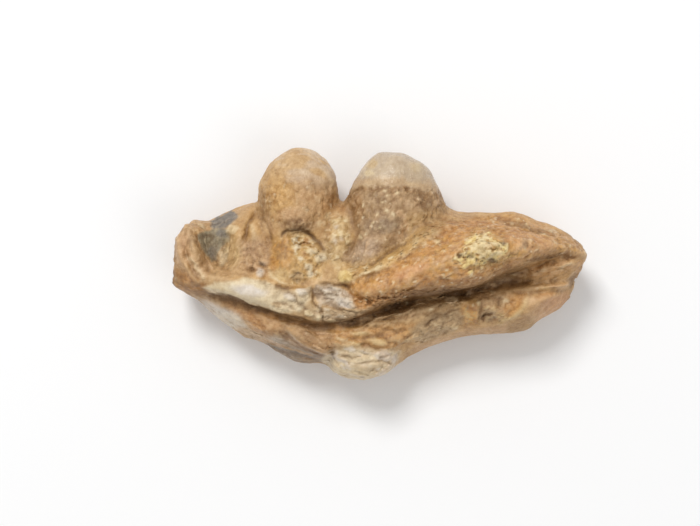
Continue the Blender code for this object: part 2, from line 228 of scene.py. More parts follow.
def lay_on(zone, *layers):
    """Lays minerals over a zone, one after another. A layer is a mineral and its share; some go on with
    values and with the two between which the mineral fades in."""
    for mineral, share, *fading in layers:
        mineral.cover(share * zone * (ramp(*fading) if fading else 1))


def draw_lines(lines, height, width, mineral, share, stained):
    """Raises thin lines, or cuts them in where height is below zero, and lays a mineral along them."""
    for line in lines:
        lift[:] += height * stroke(line, width)
        mineral.cover(share * stroke(line, stained))


rosy = Mineral("rosy", (214, 174, 130), (182, 138, 94), 0.52)
slate = Mineral("slate", (130, 122, 113), (96, 90, 82), 0.6)
flesh = Mineral("flesh", (198, 160, 120), (156, 118, 80), 0.6)
olive = Mineral("olive", (158, 147, 122), (118, 108, 84), 0.62)
cream = Mineral("cream", (234, 216, 176), (208, 182, 136), 0.5)
rust = Mineral("rust", (192, 138, 78), (150, 98, 48), 0.6)
earth = Mineral("earth", (106, 72, 32), (70, 44, 14), 0.75)
umber = Mineral("umber", (128, 85, 38), (88, 56, 18), 0.66)
straw = Mineral("straw", (220, 192, 138), (190, 156, 102), 0.52)

END_CREASE = [(-6.12, 1.05), (-6, 0.42), (-5.86, 0), (-5.6, -0.45)]
SLIVER = [(-6.42, 0.22), (-6.15, 0), (-5.97, -0.32), (-5.75, -0.52)]
SIDE_CREASE = [(-4.12, 1.72), (-4.38, 1.3), (-4.5, 0.78)]
broken_end = oval((-5.6, 0.6), (1.7, 1.5))
fibres = clouds(0.16, 71, 3, (1, 4, 1), -12)
rosy.cover(0.7 * oval((-6.55, 0.55), (0.5, 1)) + 0.5 * broken_end * ramp(fibres, 0.05, 0.5))
flesh.cover(0.3 * oval((-6.5, 0.8), (0.5, 0.7)))
brown.cover(0.65 * broken_end * ramp(fibres, -0.1, -0.5))
end_tip = patch([(-7.2, -0.1), (-6.4, -0.3), (-5.8, -0.7), (-5.9, -1.05), (-7.2, -0.9)], 0.15)
lay_on(end_tip, (rust, 0.8), (umber, 0.5, clouds(0.3, 76, 3), -0.3, 0.2))
ochre.cover(0.4 * patch([(-4.95, 1.2), (-4.3, 1.8), (-3.9, 1.4), (-4, 0.9), (-4.9, 0.7)], 0.15))
grey_stain = patch(
    [(-5.75, 1.5), (-5.5, 1.7), (-5, 1.9), (-4.72, 1.6), (-4.95, 1.3), (-5.3, 1.15), (-5.6, 1.2)], 0.05,
)
slate.cover(0.95 * grey_stain * ramp(z_at + 0.7 * clouds(0.5, 77, 3), 0.7, 1.2))
DARK_FLOOR = [
    (-6.05, 1), (-5.6, 1.2), (-5.1, 1.15), (-5.05, 0.75), (-5.3, 0.5), (-5.45, 0.1), (-5.65, 0.02),
    (-5.95, 0.45),
]
olive.cover(0.95 * patch(DARK_FLOOR, 0.045))
slate.cover(0.75 * oval((-5.32, 1), (0.24, 0.22)) + 0.6 * oval((-5.62, 0.35), (0.22, 0.3)))
earth.cover(0.45 * oval((-5.82, 0.92), (0.24, 0.12)) + 0.5 * oval((-5.52, 0.16), (0.1, 0.14)))
straw.cover(0.45 * oval((-4.9, 0.45), (0.45, 0.75)))
pale_lump = oval((-4.92, 1.12), (0.3, 0.2), 20, 0.3)
cream.cover(0.6 * oval((-5.22, 0.22), (0.18, 0.42), -14) + 0.55 * pale_lump)
lift += 0.05 * pale_lump
cream.cover(
    0.4 * oval((-5.95, 1.3), (0.22, 0.1), -30) + 0.35 * stroke([(-4.35, 1.35), (-4.2, 1), (-4.15, 0.7)], 0.07)
)
draw_lines([SLIVER], 0.16, 0.1, rosy, 0.9, 0.15)
cream.cover(0.5 * stroke(SLIVER, 0.08))
lift -= 0.08 * stroke(END_CREASE, 0.08)
lift -= 0.07 * stroke([(-6.48, 0.28), (-6.28, -0.02), (-6.1, -0.36), (-5.92, -0.62)], 0.06)
brown.cover(0.45 * stroke(END_CREASE, 0.12) + 0.4 * stroke([(-6.3, 0), (-6, -0.5)], 0.1))
lift += 0.1 * stroke([(-6.78, 0.9), (-6.6, 0.1), (-6.3, -0.4)], 0.12)
lift += 0.08 * stroke([(-5.72, -0.38), (-5.3, -0.5), (-4.6, -0.44)], 0.1)
lift -= 0.06 * stroke([(-5.55, -0.22), (-5, -0.34)], 0.08)
draw_lines([SIDE_CREASE], -0.1, 0.06, brown, 0.6, 0.08)
rubble(broken_end * (1 - oval((-6.55, 0.4), (0.5, 0.9))), 0.26, 0.05, 74, (1, 1.5, 1), -12)
lift += 0.03 * broken_end * fibres
snapped = ramp(-out[:, 0], 0.35, 0.75) * ramp(x_at, -5.4, -6) * ramp(z_at, 2.9, 2.3)
_, kinds = rubble(snapped, 0.3, 0.04, 78, layer=swell)
lay_on(snapped, (umber, 0.6, kinds, 0.45, 0.25), (cream, 0.55, kinds, 0.65, 0.8))

# The porous bone between the broken end and the pit
# Spongy bone with small rounded lumps, pink-grey, and two little nerve holes with a lilac lump below them.
lilac = Mineral("lilac", (224, 214, 202), (208, 196, 182), 0.42)

porous = patch([(-4.62, 0.75), (-3.75, 0.85), (-3.55, 0.2), (-3.6, -0.3), (-4.5, -0.38)], 0.2)
flesh.cover(0.8 * porous)
tops, kinds = rubble(porous, 0.24, 0.08, 81, (1, 1.6, 1), 12)
rosy.cover(0.7 * porous * ramp(kinds, 0.6, 0.75) * tops)
brown.cover(0.35 * porous * ramp(tops, 0.35, 0))
small_hole = oval((-4.24, -0.2), (0.15, 0.12), 0, 0.9)
long_hole = oval((-3.88, -0.04), (0.24, 0.09), 0, 0.9)
lilac_lump = oval((-3.95, -0.3), (0.22, 0.18), 0, 0.8)
lift += 0.08 * lilac_lump - 0.08 * small_hole - 0.06 * long_hole
lilac.cover(0.7 * lilac_lump)
earth.cover(0.5 * small_hole)
slate.cover(0.55 * long_hole)

# The left tooth
# A blunt peg for crushing, fused to the jaw. Its thin enamel is worn and stained by the clay it lay in, pale
# tan at the top, ochre on the left and in small facets lower down, with brown cement at its base.
left_tooth = patch(
    [(-4.1, 1.3), (-4.2, 2.4), (-3.9, 4.1), (-1.5, 4.1), (-1.3, 2.2), (-1.7, 1.3), (-2.8, 1.2)], 0.15,
)
tip_line = y_at + 0.15 * clouds(0.5, 91, 2)
left_tip = left_tooth * ramp(tip_line, 2.2, 3.1)
tan.cover(left_tooth)
ochre.cover(0.65 * left_tooth * oval((-3.3, 2.3), (1.1, 1.1), 0, 0.9))
worn_side = left_tooth * (1 - left_tip)
_, kinds = rubble(worn_side, 0.24, 0.032, 94, (1, 1.5, 1), 8, swell)
brown.cover(0.3 * worn_side * ramp(clouds(0.25, 92, 3), 0.1, 0.5))
cream.cover(0.45 * worn_side * ramp(kinds, 0.62, 0.8) * ramp(x_at, -3.2, -2.5))
rosy.cover(0.45 * left_tooth * oval((-2.2, 2.3), (0.8, 0.9)))
brown.cover(
    0.35 * left_tooth * ramp(np.abs(tip_line - 2.6), 0.2, 0) * ramp(clouds(0.25, 90, 3, (2, 1, 1)), 0, 0.4)
)
rust.cover(0.45 * left_tooth * oval((-1.6, 1.95), (0.42, 0.6)))
brown.cover(0.35 * left_tooth * oval((-1.65, 2.2), (0.2, 0.35)))
rosy.cover(0.75 * oval((-2.85, 1.62), (0.72, 0.36)))
lay_on(left_tip, (cream, 0.1), (lilac, 0.3, clouds(0.4, 93, 3, (2.5, 1, 1)) + 0.5 * (x_at + 2.8), -0.1, 0.6))
brown.cover(0.65 * stroke([(-3.98, 2.5), (-3.88, 1.8), (-3.92, 1.1)], 0.13))
swell += worn_side * 0.022 * clouds(0.2, 95, 3)
BASE_CREASES = [[(-3.78, 1.85), (-3.66, 1.45), (-3.5, 1.05)], [(-3.82, 1.5), (-3.62, 1.1), (-3.58, 0.75)]]
draw_lines(BASE_CREASES, -0.06, 0.055, brown, 0.6, 0.07)
rosy.cover(0.6 * stroke([(-3.7, 1.55), (-3.55, 1.2), (-3.5, 0.95)], 0.06))

# The pit under the left tooth
# The round pit where the next tooth grew, open at the top like an arch. Sediment fills it: a smooth ochre
# half on the left, with a pale rim, and on the right a crumble of white and cream grains.
PIT_ARCH = [(-3.3, 0.9), (-3.05, 1.02), (-2.6, 1.1), (-2.25, 0.98), (-2, 0.7), (-1.8, 0.34)]
PALE_RIM = [(-3.62, -0.2), (-3.58, -0.45), (-3.3, -0.62), (-2.98, -0.7)]
roof = oval((-2.72, 1.26), (0.8, 0.34), 0, 0.8)
_, kinds = rubble(roof, 0.17, 0.09, 101)
lift += 0.03 * roof + 0.09 * oval((-3.4, 0.82), (0.25, 0.3))
lay_on(roof, (flesh, 0.6), (umber, 0.6, kinds, 0.5, 0.3), (rosy, 0.5, kinds, 0.7, 0.85))
lift += 0.12 * stroke([(x + 0.05, y - 0.22) for x, y in PIT_ARCH], 0.14) - 0.1 * stroke(PIT_ARCH, 0.06)
# Dark earth along the arch is painted shadow that the rim casts on the fill, laid over the narrow cut there
earth.cover(0.9 * stroke(PIT_ARCH, 0.055) + 0.5 * stroke(PIT_ARCH[:4], 0.12))
for start, end in ((0, 3), (2, 5)):
    cream.cover(0.4 * stroke([(x - 0.05, y - 0.13) for x, y in PIT_ARCH[start:end]], 0.05))
OCHRE_HALF = [(-3.5, 0.7), (-3, 0.98), (-2.82, 0.4), (-2.9, -0.3), (-3.1, -0.68), (-3.6, -0.4), (-3.62, 0.1)]
ochre_half = patch(OCHRE_HALF, 0.07)
gold = Mineral("gold", (212, 156, 80), (168, 114, 48), 0.42)
lay_on(
    ochre_half, (ochre, 0.8), (gold, 0.8, clouds(0.25, 100, 3), -0.2, 0.3),
    (brown, 0.5, clouds(0.2, 102, 3, (1, 2, 1), 8), 0.05, 0.5),
)
straw.cover(0.8 * oval((-3.25, -0.36), (0.45, 0.32)))
cream.cover(0.65 * stroke(PALE_RIM, 0.06))
lift += 0.05 * stroke(PALE_RIM, 0.08) - 0.07 * stroke([(-3.5, -0.7), (-3.2, -0.82), (-2.95, -0.84)], 0.06)
# Brown under the pale rim is painted shadow below the rim's edge, over a shallow cut
brown.cover(0.7 * stroke([(-3.45, -0.7), (-3.25, -0.84), (-2.95, -0.84)], 0.08))
lift += 0.04 * ochre_half * clouds(0.25, 105, 3)
CRUMBLE = [(-3, 0.95), (-2.5, 0.98), (-2.15, 0.75), (-1.75, 0.15), (-2, -0.5), (-2.9, -0.65), (-2.82, 0.3)]
crumble = patch(CRUMBLE, 0.14)
lift += 0.1 * oval((-2.75, -0.45), (0.35, 0.4))
_, kinds = rubble(crumble, 0.22, 0.1, 103)
lift += crumble * 0.04 * clouds(0.14, 104, 3)
lay_on(
    crumble, (straw, 0.85), (ochre, 0.6, kinds, 0.3, 0.26), (cream, 0.8, kinds, 0.5, 0.6),
    (lilac, 0.35, kinds, 0.75, 0.85), (brown, 0.35, clouds(0.16, 106, 3), 0.2, 0.4),
)
CRUMBS = [
    ((-2.68, 0.6), (0.16, 0.13), 0.06), ((-2.76, 0.82), (0.12, 0.08), 0.04),
    ((-1.92, 0.22), (0.26, 0.22), 0.08), ((-2.32, -0.1), (0.2, 0.16), 0.06),
    ((-2.62, 0.16), (0.12, 0.12), 0.05), ((-2.3, -0.35), (0.16, 0.2), 0.05),
    ((-2.2, 0.45), (0.12, 0.14), 0.04),
]
for centre, radii, height in CRUMBS:
    lift += height * oval(centre, radii, 0, 0.8)
    cream.cover(0.9 * oval(centre, radii, 0, 0.5))
    lilac.cover(0.3 * oval(centre, radii, 0, 0.9))
rust.cover(0.7 * oval((-2.38, 0.75), (0.15, 0.16)) + 0.6 * oval((-2.45, 0.3), (0.1, 0.2), 20))
slate.cover(0.35 * oval((-2.72, -0.45), (0.24, 0.2)))
brown.cover(0.3 * oval((-2, 0.6), (0.16, 0.3), 30))

# The pillar between the two teeth
# The wall of bone that the teeth share, granular and cream-tan, with chalky white spots and brown sides.


def set_spots(places, height, soft, mineral, share, edge):
    """Raises small ovals (centre, radii, turn) and lays a mineral on them; soft and edge are their fades."""
    for place in places:
        lift[:] += height * oval(*place, soft=soft)
        mineral.cover(share * oval(*place, soft=edge))


pillar = oval((-1.38, 0.85), (0.56, 1.2), 4, 0.35)
_, kinds = rubble(pillar, 0.25, 0.06, 111)
lay_on(pillar, (straw, 0.9), (cream, 0.75, kinds, 0.4, 0.6), (tan, 0.4, kinds, 0.35, 0.25))
olive.cover(0.15 * oval((-1.55, 0.2), (0.45, 0.5)))
rust.cover(
    0.55 * oval((-1.35, 1.75), (0.42, 0.35)) + 0.5 * stroke([(-1.75, 1.6), (-1.7, 1.1), (-1.62, 0.7)], 0.14)
)
lift += pillar * 0.03 * clouds(0.16, 112, 3)
CHALK_SPOTS = [((-1.48, 0.8), (0.14, 0.2)), ((-1.26, 0.86), (0.13, 0.12)), ((-1.42, 1.22), (0.14, 0.1))]
set_spots(CHALK_SPOTS, 0.04, 0.8, lilac, 0.5, 0.9)

# The right tooth
# The other crushing tooth. A pale cap of enamel thins out along a low step; below it the bare dentine is grey
# and brown with sparkling grains, and a rounded lobe of it hangs down to the flaky edge.
enamel = Mineral("enamel", (197, 177, 149), (174, 151, 124), 0.3)
mouse = Mineral("mouse", (183, 148, 107), (144, 111, 73), 0.55)

ENAMEL_EDGE = [(-1.2, 2.35), (-0.85, 2.5), (-0.4, 2.56), (0.3, 2.6), (0.9, 2.54), (1.5, 2.44), (2.3, 2.3)]
RIGHT_TOOTH = [
    (-1.25, 0.05), (-1, 0.5), (-0.78, 0.9), (-0.8, 1.35), (-0.98, 1.7), (-1.15, 2.2), (-0.8, 4.1), (1.8, 4.1),
    (2.5, 1.9), (1.7, 1.5), (1, 1), (0.4, 0.35), (-0.3, -0.1), (-0.9, -0.15),
]
right_tooth = patch(RIGHT_TOOTH, 0.16)
far, side, share = along(ENAMEL_EDGE)
cap_height = far * side + 0.12 * clouds(0.25, 120, 3)
inside = ramp(x_at, -1.3, -1.1) * ramp(x_at, 2.45, 2.4) * ramp(y_at, 2, 2.2)
right_cap = inside * ramp(cap_height, -0.07, 0.09)
dentine = right_tooth * (1 - inside * ramp(cap_height, -0.05, 0.05))
mouse.cover(right_tooth)
brown.cover(0.45 * dentine * ramp(clouds(0.3, 121, 3), 0, 0.45) * ramp(y_at, 0.9, 1.8))
brown.cover(0.7 * dentine * oval((1.5, 2.05), (0.45, 0.5)) + 0.35 * dentine * oval((-0.8, 2.2), (0.35, 0.4)))
rust.cover(0.35 * dentine * oval((-0.75, 1.9), (0.35, 0.6)))
right_flank = dentine * patch([(0.9, 1.6), (1.5, 1.7), (2.4, 1.9), (1.6, 1.2), (0.9, 0.8)], 0.2)
lay_on(right_flank, (tan, 0.8), (straw, 0.3))
flesh.cover(0.4 * oval((-0.35, 0.55), (0.7, 0.6)))
lilac.cover(0.18 * oval((-0.45, 0.45), (0.7, 0.5), 30))
slate.cover(0.22 * oval((0, 1.25), (0.8, 0.4)))
enamel.cover(0.95 * right_cap)
ochre.cover(0.35 * inside * ramp(np.abs(cap_height - 0.15), 0.3, 0))
brown.cover(0.6 * inside * ramp(np.abs(cap_height + 0.07), 0.07, 0) * ramp(clouds(0.3, 126, 2), -0.3, 0.2))
straw.cover(0.6 * right_cap * oval((-0.25, 3.3), (0.26, 0.2), 30))
cream.cover(0.7 * right_cap * (oval((-0.3, 3.02), (0.24, 0.14), 10) + 0.5 * oval((1.25, 3.2), (0.26, 0.2))))
tops, kinds = rubble(dentine, 0.18, 0.034, 123, (1, 1.2, 1), 0, swell)
swell += dentine * 0.02 * clouds(0.15, 124, 3) + 0.022 * right_cap + 0.008 * right_cap * clouds(0.4, 125, 2)
lay_on(dentine, (rosy, 0.45, kinds, 0.6, 0.85), (brown, 0.15, tops, 0.3, 0))
SPARKLES = [
    (0.2, 2.42), (0.6, 2.35), (0.1, 2), (0.25, 1.72), (-0.2, 1.35), (-0.45, 0.98), (-0.62, 0.88),
    (0.82, 1.45), (0.85, 1.25), (-0.05, 1.62), (0.45, 1.62), (0.3, 2.25), (-0.55, 1.95), (0.02, 1.15),
]
for step, spot in enumerate(SPARKLES):
    sparkle = oval(spot, (0.11 - 0.02 * (step % 3), 0.055), 50 * step, 0.7)
    lift += 0.03 * sparkle
    cream.cover(0.75 * sparkle)
TOOTH_CREASE = [(-1.02, 2), (-0.9, 1.62), (-0.76, 1.3), (-0.74, 0.9), (-0.98, 0.45), (-1.2, 0.1)]
draw_lines([TOOTH_CREASE], -0.04, 0.1, brown, 0.5, 0.1)
round_lump = oval((0.32, 1.3), (0.44, 0.4), 20, 0.6)
lift += 0.05 * round_lump
slate.cover(0.16 * round_lump)
rosy.cover(0.6 * stroke([(0.72, 1.62), (0.98, 1.22), (0.6, 0.9)], 0.07))

# The flaky edge between the right tooth and the big ridge
# Thin crumbling sheets of yellow bone that lap over each other from the notch on the left up to the right.
EDGE_LINE = [(-1.3, -0.42), (-0.7, -0.32), (-0.2, -0.15), (0.3, 0.12), (0.8, 0.38), (1.25, 0.75), (2, 1.15)]
edge_band = stroke(EDGE_LINE, 0.27)
lemon = Mineral("lemon", (240, 216, 148), (212, 176, 102), 0.6)
tops, kinds = rubble(edge_band, 0.22, 0.09, 131, (1.6, 1, 1), 32)
lay_on(
    edge_band, (straw, 0.9), (ochre, 0.6, kinds, 0.45, 0.35), (cream, 0.7, kinds, 0.58, 0.72),
    (brown, 0.12, tops, 0.3, 0),
)
lift += edge_band * (0.03 + 0.05 * clouds(0.16, 133, 3))
set_spots([((-1.1, -0.42), (0.26, 0.24))], 0.05, 0.3, lemon, 0.8, 0.3)
cream.cover(0.5 * stroke([(-1.3, -0.62), (-0.9, -0.55), (-0.35, -0.25), (0.2, 0)], 0.055))
SHEET_CREASES = [
    [(-0.65, -0.52), (-0.2, -0.32), (0.15, -0.22), (0.45, -0.15)],
    [(-0.35, -0.12), (0.05, 0.08), (0.45, 0.45), (0.95, 0.78)], [(0.55, 0.05), (0.95, 0.28), (1.35, 0.62)],
]
draw_lines(SHEET_CREASES, -0.07, 0.06, brown, 0.6, 0.06)
cream.cover(0.5 * oval((1.2, 0.75), (0.2, 0.14), 40) + 0.4 * oval((0.75, 0.28), (0.14, 0.1)))

# The big ridge
# The strong bar of bone above the long groove, orange-tan and worn along its top, with faint wrinkles that
# run its whole length, a nub at its left end and a coat of pale yellow crust full of pits.
amber = Mineral("amber", (212, 154, 84), (174, 115, 51), 0.46)
salmon = Mineral("salmon", (214, 160, 110), (184, 124, 76), 0.48)

RIDGE = [
    (-1, -0.62), (-0.4, -0.42), (0.4, -0.08), (1.2, 0.45), (2.2, 1.2), (3.4, 1.6), (4.8, 1.55), (6.2, 1),
    (7.1, 0.3), (6, 0.28), (5, 0.05), (4, -0.3), (3, -0.75), (1.5, -0.95), (0.6, -1.45), (-0.8, -1.45),
    (-0.95, -1),
]
ridge = patch(RIDGE, 0.14)
tops, kinds = rubble(ridge, 0.24, 0.03, 147, (1.5, 1, 1), 24, swell)
lay_on(
    ridge, (amber, 0.9), (tan, 0.6, x_at + 0.3 * clouds(0.6, 141), 3.9, 4.9),
    (ochre, 0.7, clouds(0.35, 142, 3, (1.6, 1, 1), 28), -0.15, 0.3),
    (rust, 0.8, clouds(0.24, 143, 3, (1.4, 1, 1), 24), 0, 0.4), (brown, 0.5, clouds(0.17, 149, 3), 0.2, 0.5),
    (rosy, 0.6, clouds(0.2, 140, 3), 0.1, 0.4),
)
cream.cover(0.6 * ridge * ramp(kinds, 0.8, 0.88) * ramp(tops, 0.1, 0.5))
salmon.cover(0.7 * ridge * oval((0.95, -0.28), (0.85, 0.28), 22))
salmon.cover(0.35 * ridge * oval((5, 0.7), (1.2, 0.5), -14))
crest = stroke([(1.4, 1.2), (2.3, 1.35), (3.2, 1.25), (4, 1.15)], 0.24)
rust.cover(0.7 * crest * ramp(clouds(0.2, 146, 3), -0.1, 0.3))
rubble(crest, 0.2, 0.07, 139)
swell += ridge * 0.022 * clouds(0.26, 144, 3, (1.5, 1, 1), 22)
RIDGE_SPECKS = [
    ((2.25, -0.5), (0.17, 0.06), 0), ((1.92, 0.75), (0.16, 0.12), 0), ((2.12, 0.45), (0.08, 0.06), 0),
    ((4.75, 0.5), (0.07, 0.09), 0), ((5.85, 0.7), (0.12, 0.07), -40), ((6.3, 0.58), (0.08, 0.06), 0),
    ((5.88, 1.12), (0.18, 0.05), -12), ((3.83, 1.42), (0.06, 0.09), 0), ((5.15, 0.42), (0.16, 0.05), 14),
]
set_spots(RIDGE_SPECKS, 0.03, 0.9, cream, 0.6, 0.8)

UNDER_NUB = [(-1.02, -0.74), (-0.95, -0.96), (-0.75, -1.1), (-0.42, -1.18), (0.1, -1.2), (0.5, -1.1)]
draw_lines([UNDER_NUB], -0.08, 0.09, rust, 0.6, 0.09)
NOTCH_LINE = [(-1.42, -0.7), (-1.2, -0.7), (-1, -0.76)]
notch = oval((-1.06, -0.72), (0.09, 0.07), 0, 0.9)
lift -= 0.06 * notch + 0.05 * stroke(NOTCH_LINE, 0.06)
rust.cover(0.9 * notch)
brown.cover(0.6 * notch + 0.6 * stroke(NOTCH_LINE, 0.07))
gold.cover(0.5 * oval((-0.5, -0.72), (0.5, 0.24), 10))
rough_foot = patch([(-0.85, -1.12), (0.2, -0.98), (1.1, -0.8), (1.3, -1), (0.5, -1.45), (-0.7, -1.5)], 0.12)
tops, kinds = rubble(rough_foot, 0.17, 0.12, 148, (1.3, 1, 1), 20)
lay_on(rough_foot, (rust, 0.7), (brown, 0.5, tops, 0.35, 0))
rosy.cover(0.65 * rough_foot * ramp(kinds, 0.65, 0.8) * tops)
cream.cover(0.6 * rough_foot * ramp(kinds, 0.85, 0.9))

UPPER_DENT = [(3.85, 1.5), (4.2, 1.44), (4.6, 1.38), (5.1, 1.16), (5.7, 1.02)]
LOWER_DENT = [(4.3, 1.3), (4.9, 1.2), (5.4, 1)]
lift += 0.16 * stroke([(4.5, 1.36), (5, 1.2), (5.4, 1.08), (5.9, 0.95)], 0.16)
lift -= 0.03 * stroke(LOWER_DENT, 0.06)
brown.cover(0.6 * stroke(UPPER_DENT, 0.08) + 0.4 * stroke(LOWER_DENT, 0.07))
brown.cover(0.5 * oval((5.2, 0.57), (0.17, 0.06), 5, 0.9) + 0.5 * oval((4.08, 0.64), (0.22, 0.12), -20))
slate.cover(0.3 * oval((4.75, 0.62), (0.16, 0.24)))
brown.cover(0.35 * oval((1.7, 1.1), (0.6, 0.4), 20))

CRUST = [
    (2.35, 0.1), (2.75, 0.55), (3, 0.95), (3.5, 1.05), (3.95, 0.75), (4.2, 0.3), (3.85, -0.12), (3.1, -0.15),
]
crust_zone = patch(CRUST, 0.3)
tops, kinds = rubble(crust_zone, 0.22, 0.06, 154)
ragged = 1.4 * crust_zone - 0.6 + clouds(0.25, 151, 4) + 0.4 * (kinds - 0.5)
crust = ramp(crust_zone, 0, 0.1) * ramp(ragged, 0, 0.15)
lemon.cover(0.95 * crust + 0.3 * crust_zone)
cream.cover(0.65 * crust * ramp(clouds(0.22, 152, 4) + 0.8 * oval((3.3, 0.62), (0.6, 0.6)), 0.15, 0.4))
ochre.cover(0.6 * crust_zone * ramp(clouds(0.2, 153, 4), 0.2, 0.4))
lift += 0.07 * crust_zone * clouds(0.14, 155, 3) + 0.04 * crust
PITS = [
    ((2.66, 0.3), (0.18, 0.16), 0.14), ((2.96, 0.22), (0.14, 0.13), 0.12), ((3.66, 0.04), (0.22, 0.13), 0.14),
    ((4.05, 0.62), (0.16, 0.1), 0.05), ((3.15, 0.1), (0.1, 0.08), 0.08), ((3.35, 0.16), (0.09, 0.09), 0.08),
    ((3.45, -0.06), (0.12, 0.06), 0.06), ((2.85, 0.42), (0.1, 0.06), 0.07), ((2.48, 0.02), (0.1, 0.05), 0.05),
]
for centre, radii, depth in PITS:
    pit = oval(centre, radii, 0, 1)
    lift -= 0.7 * depth * pit
    slate.cover(0.55 * pit)
    earth.cover(0.6 * pit * ramp(tops, 0.6, 0.3))
CRUST_LUMPS = [
    ((3.1, 0), (0.14, 0.1)), ((2.5, 0.33), (0.08, 0.08)), ((3.4, 0.96), (0.08, 0.1)),
    ((2.83, 0.35), (0.08, 0.12)), ((2.62, 0.02), (0.07, 0.06)), ((3.85, 0.36), (0.22, 0.16)),
    ((3.48, 0.62), (0.24, 0.2)),
]
set_spots(CRUST_LUMPS, 0.03, 0.9, cream, 0.7, 0.9)

# The white ledge above the left half of the groove
# Smooth chalky bone, white with a breath of lilac, that ends in a sharp lip over the groove and gets crumbly
# and golden towards the right.


def flake(line, height, reach, break_width=0.05):
    """A sheet whose broken edge is the line: full height on the line's left, sinking away behind the edge."""
    far, side, share = along(line)
    past = far * side
    fades = np.exp(-np.maximum(past, 0) / reach) * ramp(np.minimum(share, 1 - share), 0, 0.15)
    return height * ramp(past, -break_width, break_width) * fades * upper


LEDGE = [
    (-5.85, -0.82), (-5.4, -0.66), (-4.9, -0.6), (-4.4, -0.48), (-3.8, -0.55), (-3.5, -0.75), (-2.9, -0.95),
    (-2.25, -0.78), (-2.25, -1.2), (-2.6, -1.6), (-3.4, -1.62), (-3.9, -1.44), (-4.6, -1.22), (-5.3, -1.05),
]
ledge = patch(LEDGE, 0.08)
golden = ledge * ramp(x_at + 0.6 * y_at + 0.25 * clouds(0.3, 160, 2), -4.5, -4.1)
cream.cover(0.95 * ledge)
LIP = [(-6, -0.88), (-5.3, -1.02), (-4.6, -1.2), (-3.9, -1.43), (-3.4, -1.6), (-2.7, -1.78), (-2.1, -1.96)]
lift += flake(LIP, 0.13, 0.3, 0.035) - flake(LIP[::-1], 0.12, 0.12, 0.035)
_, kinds = rubble(golden, 0.24, 0.07, 161, (1.4, 1, 1), -20)
lay_on(
    golden, (straw, 0.45, kinds, 0.62, 0.5), (cream, 0.7, kinds, 0.55, 0.7),
    (brown, 0.3, clouds(0.2, 164, 4), 0.2, 0.45),
)
chalk = oval((-4.3, -0.9), (0.85, 0.26), -7, 0.6)
lilac.cover(0.95 * chalk)
lemon.cover(0.12 * ledge * (1 - golden) * (1 - chalk))
lilac.cover(0.25 * ledge * (1 - chalk))
ochre.cover(0.35 * oval((-4.75, -0.52), (0.3, 0.1)) + 0.3 * oval((-3.4, -1.33), (0.25, 0.12), -15))
lift += 0.03 * chalk + 0.05 * golden * clouds(0.22, 162, 3)
set_spots(
    [((-2.52, -0.93), (0.27, 0.18), -10), ((-2.95, -1.1), (0.26, 0.14), -20)], 0.06, 0.7, lilac, 0.75, 0.6,
)
LEDGE_CRACKS = [
    [(-3.1, -0.95), (-2.8, -1.02), (-2.65, -1.2)],
    [(-2.75, -1.32), (-2.5, -1.38), (-2.32, -1.55), (-2.2, -1.78)], [(-2.2, -0.8), (-2.3, -1), (-2.2, -1.15)],
    [(-3.5, -1.28), (-3.1, -1.34), (-2.85, -1.5)],
]
draw_lines(LEDGE_CRACKS, -0.05, 0.05, brown, 0.55, 0.05)
# More painted shadow under the pit's pale rim, brown along a shallow cut
BELOW_PIT = [(-3.5, -0.74), (-3.1, -0.87), (-2.8, -0.8)]
draw_lines([BELOW_PIT], -0.06, 0.09, brown, 0.6, 0.09)
olive.cover(0.35 * patch([(-2.6, -1.25), (-2.15, -1.3), (-1.95, -1.7), (-2.7, -1.75)], 0.12))
set_spots([((-2.32, -1.62), (0.14, 0.12))], 0.06, 0.3, cream, 0.8, 0.3)

# The grey cracked patch left of the big ridge
# Layered bone the colour of ash, in thin level sheets with open cracks, and tan crumbling layers under it.


def sheets(spacing, turn, seed, length=4, unrest=1.3):
    """Thin sheets that overlap like shingles: a sawtooth from -0.5 to 0.5 across the turned direction."""
    angle = np.radians(turn)
    across = y_at * np.cos(angle) - x_at * np.sin(angle)
    waves = unrest * clouds(3 * spacing, seed, 2, (length, 1, 1), turn)
    phase = (across / spacing + waves) % 1
    return (ramp(phase, 0, 0.22) - phase - 0.11) * ramp(clouds(6 * spacing, seed + 0.5, 2), -0.35, 0.1)


ash = Mineral("ash", (214, 198, 176), (170, 152, 128), 0.55)

ASH_ZONE = [
    (-2.22, -0.92), (-2.05, -0.76), (-1.7, -0.7), (-1.15, -0.84), (-0.9, -1.06), (-0.77, -1.47),
    (-1.1, -1.44), (-1.45, -1.5), (-1.95, -1.28),
]
ASH_FOOT = [
    (-2, -1.25), (-1.5, -1.45), (-1.1, -1.45), (-0.85, -1.62), (-1.2, -1.88), (-1.7, -1.88), (-1.98, -1.55),
]
ash_zone = patch(ASH_ZONE, 0.05)
_, kinds = rubble(ash_zone, 0.24, 0.08, 172, (2.4, 1, 1), -14)
lay_on(ash_zone, (ash, 0.95), (flesh, 0.35, kinds, 0.35, 0.2))
lift += ash_zone * 0.05 * sheets(0.18, -14, 171, 3)
lift += flake([(-0.78, -1.5), (-0.92, -1.06), (-1.15, -0.84)], 0.07, 0.3)
lilac.cover(
    0.7 * ash_zone * (oval((-1.15, -1.3), (0.35, 0.24), -30) + 0.7 * oval((-1.65, -0.85), (0.35, 0.08), 4))
)
LOW_LAYERS = [
    (-2.1, -1.38), (-1.4, -1.52), (-0.7, -1.55), (-0.75, -1.85), (-1.4, -2.02), (-1.85, -1.98), (-2.2, -1.8),
]
low_layers = patch(LOW_LAYERS, 0.1)
_, kinds = rubble(low_layers, 0.24, 0.1, 173, (1.8, 1, 1), -12)
lift += 0.06 * low_layers
lay_on(
    low_layers, (straw, 0.7), (ash, 0.5), (cream, 0.8, kinds, 0.55, 0.7), (rosy, 0.25, kinds, 0.35, 0.25),
    (rosy, 0.3, kinds, 0.45, 0.55),
)
ash.cover(0.6 * patch(ASH_FOOT, 0.08) * ramp(kinds, 0.25, 0.45))
